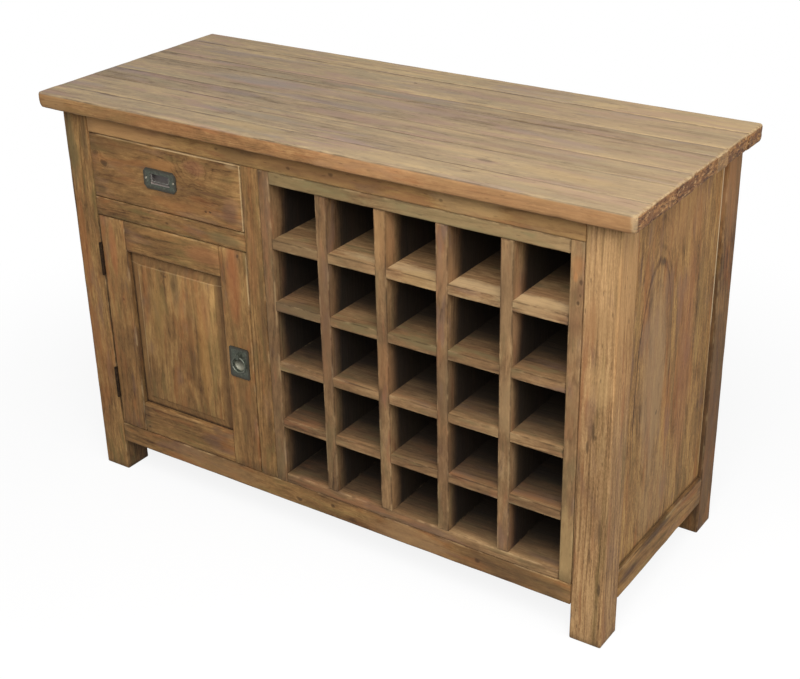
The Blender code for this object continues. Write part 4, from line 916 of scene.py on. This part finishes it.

# The rack has greyer wood, and painted shade that turns it dark inside
rackWear = dict(bite=0.0005, pace=11.0, step=0.026)
rackWood = dict(
    light=(182, 146, 102), middle=(136, 104, 70), dark=(70, 50, 34), blotch=0.5, mottle=0.26,
    reddish=(154, 104, 70), greenish=(120, 104, 70), mauvish=(122, 96, 82), fibre=0.2, streaks=0.25,
    fleck=0.1, worn=0.16, grime=0.55,
)
# painted shade inside the cells, on the walls and on the shelves
partition = dict(uprightSide, shadeInside=(-0.226, -0.186, 0.94, 0.02))
openShelf = dict(levelFlat, shadeInside=(-0.2195, -0.12, 0.92, 0.02))
# the lower shelves get deeper painted shade, and a dark painted band just behind the front edge
lowShelfInShade = dict(
    levelFlat, shadeInside=(-0.223, -0.135, 0.94, 0.0), marks=((0.2, -0.187, 0.6, 0.029, (70, 55, 40), 0.48),),
)
rack = {
    "rackSideLeft": ("rack_side_left", dict(partition, seed=31.0, tone=-0.22, grime=0.3, rightOf=-0.1)),
    "rackSideRight": ("rack_side_right", dict(
        partition, face=1, seed=32.3, tone=-0.04, grime=0.0,
        knots=((0.665, 0.5095, 0.0034, 0.6), (0.6303, 0.505, 0.003, 0.75), (0.643, 0.5085, 0.0022, 0.5)),
        marks=(
            (0.654, 0.508, 0.026, 0.006, (98, 66, 46), 0.6),
            (0.64, 0.501, 0.016, 0.006, (110, 80, 54), 0.45),
            (0.672, 0.5, 0.01, 0.005, (184, 122, 72), 0.5), (0.6, 0.502, 0.03, 0.012, (126, 90, 62), 0.4),
            (0.69, 0.502, 0.02, 0.012, (176, 122, 76), 0.5), (0.17, 0.501, 0.1, 0.02, (192, 160, 108), 0.5),
            (0.43, 0.501, 0.05, 0.02, (116, 86, 56), 0.5),
        ),
    )),
    "rackFloor": ("rack_floor", dict(lowShelfInShade, seed=33.7, tone=-0.06)),
    "rackTop": ("rack_top", dict(
        openShelf, seed=34.1, tone=0.14, olive=1.0, red=0.1, mauve=0.1, greenish=(138, 122, 84),
        marks=(
            (-0.02, -0.2195, 0.14, 0.04, (140, 124, 84), 0.55),
            (0.26, -0.2195, 0.16, 0.04, (140, 124, 86), 0.55),
            (0.44, -0.2195, 0.1, 0.04, (144, 124, 86), 0.45),
        ),
    )),
    "rackDivider1": ("rack_divider_1", dict(
        partition, seed=35.5, tone=-0.04, marks=((0.48, -0.2195, 0.14, 0.016, (110, 84, 60), 0.6),),
    )),
    "rackDivider2": ("rack_divider_2", dict(
        partition, seed=37.4, tone=0.04, red=0.7,
        marks=(
            (0.42, -0.215, 0.05, 0.03, (178, 128, 84), 0.4),
            (0.66, -0.215, 0.06, 0.03, (176, 132, 86), 0.5),
            (0.66, -0.202, 0.06, 0.014, (190, 140, 98), 0.35),
            (0.17, -0.204, 0.06, 0.018, (186, 140, 96), 0.5), (0.41, -0.2, 0.05, 0.02, (150, 112, 78), 0.5),
        ),
    )),
    "rackDivider3": ("rack_divider_3", dict(
        partition, seed=39.3, mauve=0.6, tone=-0.04,
        marks=(
            (0.62, -0.215, 0.05, 0.03, (168, 128, 90), 0.4),
            (0.42, -0.2195, 0.07, 0.016, (108, 82, 58), 0.55),
            (0.27, -0.2195, 0.05, 0.02, (120, 86, 62), 0.35),
            (0.16, -0.195, 0.06, 0.016, (96, 70, 52), 0.5), (0.68, -0.195, 0.06, 0.014, (88, 64, 46), 0.5),
        ),
    )),
    "rackDivider4": ("rack_divider_4", dict(
        partition, seed=41.2,
        marks=(
            (0.62, -0.2195, 0.1, 0.01, (120, 94, 66), 0.5),
            (0.42, -0.2195, 0.06, 0.016, (176, 142, 100), 0.5),
            (0.57, -0.202, 0.1, 0.016, (180, 136, 98), 0.55),
            (0.3, -0.195, 0.07, 0.024, (206, 164, 118), 0.85),
        ),
    )),
    "rackShelf1": ("rack_shelf_1", dict(lowShelfInShade, seed=44.5, olive=0.8, tone=-0.04)),
    "rackShelf2": ("rack_shelf_2", dict(lowShelfInShade, seed=46.8, tone=0.02, olive=0.7)),
    "rackShelf3": ("rack_shelf_3", dict(
        openShelf, seed=49.1, olive=0.8, red=0.2,
        marks=((-0.04, -0.2195, 0.07, 0.018, (98, 82, 58), 0.75),),
    )),
    "rackShelf4": ("rack_shelf_4", dict(
        levelFlat, seed=51.4, tone=0.06, olive=0.8, red=0.2, shadeInside=(-0.21, -0.05, 0.92, 0.02),
        marks=(
            (-0.04, -0.2195, 0.08, 0.02, (104, 86, 60), 0.55),
            # the long pale band behind the front edge is painted light on the lit front of the shelf's
            # upper face
            (0.08, -0.2195, 0.05, 0.01, (120, 98, 68), 0.4), (0.3, -0.2, 0.28, 0.02, (214, 184, 138), 0.52),
            (0.22, -0.2195, 0.05, 0.03, (184, 150, 100), 0.4),
            (0.44, -0.21, 0.05, 0.03, (206, 170, 122), 0.4),
        ),
    )),
}
for name, (node, look) in rack.items():
    wornBoard(name, node, {**rackWood, **look}, rackWear)
print("rack: sides, dividers and shelves")

joinery = {
    "drawerFace": ("drawer_front", dict(
        seed=51.2, heart=(0.02, 0.06, 0.05, 0.02), worn=0.15, grime=0.3, tone=-0.03, red=0.36,
        olive=0.38, mauve=0.36,
        knots=(
            (-0.5, 0.693, 0.006, 0.55), (-0.48, 0.6765, 0.0065, 0.75), (-0.268, 0.7, 0.014, 0.12),
            (-0.237, 0.628, 0.0024, 0.8), (-0.2265, 0.629, 0.0022, 0.8),
        ),
        marks=(
            (-0.455, 0.713, 0.06, 0.013, (104, 74, 46), 0.5),
            (-0.18, 0.635, 0.022, 0.022, (98, 70, 58), 0.6),
            (-0.175, 0.655, 0.022, 0.014, (158, 116, 84), 0.35),
            (-0.3, 0.628, 0.09, 0.014, (160, 112, 66), 0.25),
            (-0.255, 0.706, 0.03, 0.016, (142, 92, 68), 0.5),
            (-0.215, 0.6635, 0.045, 0.004, (88, 56, 40), 0.6),
            (-0.493, 0.624, 0.014, 0.01, (74, 60, 40), 0.5),
            (-0.172, 0.724, 0.018, 0.005, (186, 156, 112), 0.4),
            (-0.335, 0.698, 0.04, 0.012, (164, 114, 68), 0.55),
        ),
        seamsAndPaintedLight=(
            # painted highlights along the top and right arrises, on partly worn wood
            (2, 0.7288, 0.0015, highlightCream, 0.8, (-0.36, -0.15)),
            (2, 0.7288, 0.0012, highlightCream, 0.45, (-0.5, -0.36)), (0, -0.1525, 0.0013, highlightCream, 0.6),
        ),
    )),
    "doorStileLeft": ("door_stile_left", dict(
        uprightFront, seed=52.8, heart=(0.07, 0.07, 0.0, 0.02),
        marks=(
            (0.5, -0.482, 0.06, 0.01, (164, 98, 62), 0.5), (0.4, -0.47, 0.004, 0.004, (90, 50, 36), 0.7),
        ),
        # the line at -0.4475 is painted shade at the panel's groove; the one at -0.5115 is the dark joint
        # at the leg
        tone=-0.08, grime=0.35, seamsAndPaintedLight=((0, -0.4475, 0.003, dirtAndShade, 0.35), (0, -0.5115, 0.0022, dirtAndShade, 0.6)),
    )),
    "doorStileRight": ("door_stile_right", dict(
        uprightFront, seed=53.3, heart=(-0.06, 0.08, 0.0, 0.03), worn=0.2, grime=0.35, tone=-0.04,
        # the cream line is a painted highlight on the right arris near the top
        seamsAndPaintedLight=((0, -0.152, 0.0013, highlightCream, 0.45, (0.46, 0.565)),), knots=((0.5568, -0.171, 0.0035, 0.6),),
        marks=(
            (0.5, -0.185, 0.09, 0.018, (162, 98, 60), 0.5), (0.25, -0.18, 0.1, 0.014, (118, 88, 56), 0.3),
        ),
    )),
    "doorRailTop": ("door_rail_top", dict(
        seed=54.7, heart=(0.05, 0.07, 0.02, 0.02), tone=-0.1, grime=0.35,
        marks=(
            (-0.25, 0.54, 0.05, 0.02, (156, 98, 64), 0.45),
            (-0.36, 0.555, 0.06, 0.006, (170, 124, 74), 0.4),
        ),
    )),
    "doorRailBottom": ("door_rail_bottom", dict(
        seed=55.1, heart=(-0.05, 0.07, 0.02, -0.02), tone=-0.18, grime=0.4, worn=0.1,
        knots=((-0.4378, 0.1261, 0.0035, 0.6),), marks=((-0.27, 0.145, 0.03, 0.016, (104, 78, 62), 0.5),),
    )),
}
for name, (node, look) in joinery.items():
    wornBoard(name, node, look)
print("drawer front and door frame")

# The raised panel: the edge of its field is eased, and painted shade lies in its border
panel = dict(
    fieldFront=-0.2165,
    flatWithin=0.0002,
    ease=0.0011,
    look=dict(
        uprightFront, seed=56.6, heart=(0.03, 0.08, 0.02, 0.03), tone=0.02, fibre=0.26, blotch=0.8,
        border=(-0.2155, -0.2145, (112, 82, 52), 0.55),
        knots=((0.478, -0.3625, 0.007, 0.35), (0.462, -0.335, 0.01, 0.15)),
        marks=(
            (0.38, -0.385, 0.1, 0.018, (160, 126, 74), 0.45),
            (0.33, -0.275, 0.12, 0.014, (164, 116, 64), 0.4),
            (0.36, -0.305, 0.12, 0.008, (98, 70, 42), 0.5),
            (0.45, -0.335, 0.05, 0.016, (112, 90, 58), 0.45),
            (0.42, -0.262, 0.06, 0.012, (160, 106, 68), 0.35),
            (0.485, -0.369, 0.003, 0.005, (70, 52, 34), 0.75),
            (0.4725, -0.357, 0.003, 0.004, (70, 52, 34), 0.75),
            (0.456, -0.339, 0.016, 0.009, (94, 74, 46), 0.5),
        ),
        seamsAndPaintedLight=(
            # painted shade in the groove at the left, bottom and top, and down the right bevel; painted
            # highlights along the field's left and top edges
            (0, -0.4475, 0.008, dirtAndShade, 0.85), (2, 0.1765, 0.009, dirtAndShade, 0.85),
            (0, -0.2155, 0.022, (58, 38, 24), 0.55), (2, 0.5055, 0.003, dirtAndShade, 0.35),
            (0, -0.4245, 0.0014, highlightCream, 0.45, (0.24, 0.48)), (2, 0.4822, 0.0014, highlightCream, 0.2),
        ),
    ),
)


def raisedPanel():
    bm = mergedCopy("door_panel")
    front, near = panel["fieldFront"], panel["flatWithin"]
    field = [face for face in bm.faces if abs(face.calc_center_median().y - front) < near]
    rim = {edge for face in field for edge in face.edges}
    easeEdges(bm, list(rim), panel["ease"], 2)
    finishPiece("doorPanel", bm, "door_panel", panel["look"])


raisedPanel()

# The pieces that keep their solid get their finish
kept = {
    "back_panel": dict(uprightFront, tone=-0.05),
    "cupboard_floor": dict(levelFlat, tone=-0.05),
    "drawer_runner_left": frontToBack,
    "drawer_runner_right": frontToBack,
    "door_stop": {},
    "drawer_side_left": frontToBack,
    "drawer_side_right": frontToBack,
    "drawer_back": {},
    "drawer_bottom": levelFlat,
}
for seed, (node, look) in enumerate(kept.items(), 61):
    nodes[node].material_slots[0].material = teak(node, node, {**look, "seed": float(seed)})
print("door panel and hidden boards")

# Plain pale floor with soft light from above, in front and a little from the right
studio = dict(
    floorSize=30.0,
    floorSeen=0.95,
    floorTone=0.2,  # as other rays than the camera's see it
    floorRough=0.9,
    shadowSoftening=0.86,
    shadowWithin=(1.6, 0.7),  # how far from the middle the floor's shadow ends, and where it is full
    ambient=0.27,
    lampsAimAt=(0, 0, 0.5),
)
# The lamps: power, size, spot
lamps = {"key": (110.0, 2.6, (1.1, -2.0, 2.6)), "fill": (27.0, 1.6, (2.6, -0.5, 1.6))}


def grey(level):
    return (level, level, level, 1)


# The rays from the camera alone, and together with those that come by way of a mirror or glass
def seenBy(start):
    kinds = ("Camera", "Glossy", "Transmission")
    camera, glossy, through = (start.node("LightPath", {}, "Is %s Ray" % kind) for kind in kinds)
    return camera, camera.most(glossy).most(through)


def floorMaterial():
    material, start, shader = newMaterial("paleFloor")
    shader.inputs["Roughness"].default_value = studio["floorRough"]
    shader.inputs["Specular IOR Level"].default_value = 0.0
    camera, shown = seenBy(start)
    feed(shader, "Base Color", start.blend(camera, grey(studio["floorSeen"]), grey(studio["floorTone"])))
    glow = start.node("Emission", {"Color": grey(1), "Strength": 1.0})
    away = start.node("TexCoord", {}, "Object").length()
    nearBy = away.ramp(*studio["shadowWithin"]) * (1 - studio["shadowSoftening"])
    lit = Wire(start.tree, shader.outputs[0])
    mixed = start.node("MixShader", {0: shown * (1 - nearBy), 1: lit, 2: glow})
    start.tree.links.new(mixed.socket, start.tree.nodes["Material Output"].inputs["Surface"])
    return material


bm = bmesh.new()
bmesh.ops.create_grid(bm, x_segments=1, y_segments=1, size=studio["floorSize"] / 2)
meshObject("floor", bm, floorMaterial())

world = bpy.data.worlds.new("studioWorld")
bpy.context.scene.world = world
world.use_nodes = True
back = world.node_tree.nodes["Background"]
shown = seenBy(Wire(world.node_tree))[1]
back.inputs["Color"].default_value = grey(1)
strength = shown * (1 - studio["ambient"]) + studio["ambient"]
world.node_tree.links.new(strength.socket, back.inputs["Strength"])

for lampName, (power, size, spot) in lamps.items():
    lampData = bpy.data.lights.new(lampName + "Lamp", "AREA")
    lampData.shape = "DISK"
    lampData.size = size
    lampData.energy = power
    lamp = newObject(lampName + "Lamp", lampData)
    lamp.location = spot
    lamp.rotation_mode = "QUATERNION"
    lamp.rotation_quaternion = (Vector(studio["lampsAimAt"]) - lamp.location).to_track_quat("-Z", "Y")

lens = dict(
    azimuth=34.43, elevation=26.53, roll=-1.23, spot=(1.3709, -1.9609, 1.5364), focal=63.21,
    sensor=36,
)
turns = ((lens["azimuth"], "Z"), (90 - lens["elevation"], "X"), (lens["roll"], "Z"))
turned = Matrix.Translation(lens["spot"])
for degrees, axis in turns:
    turned = turned @ Matrix.Rotation(math.radians(degrees), 4, axis)
cameraData = bpy.data.cameras.new("camera")
cameraData.sensor_width = lens["sensor"]
cameraData.lens = lens["focal"]
camera = newObject("camera", cameraData)
camera.matrix_world = turned
bpy.context.scene.camera = camera

bpy.context.scene.view_settings.view_transform = "Standard"

bpy.context.view_layer.update()
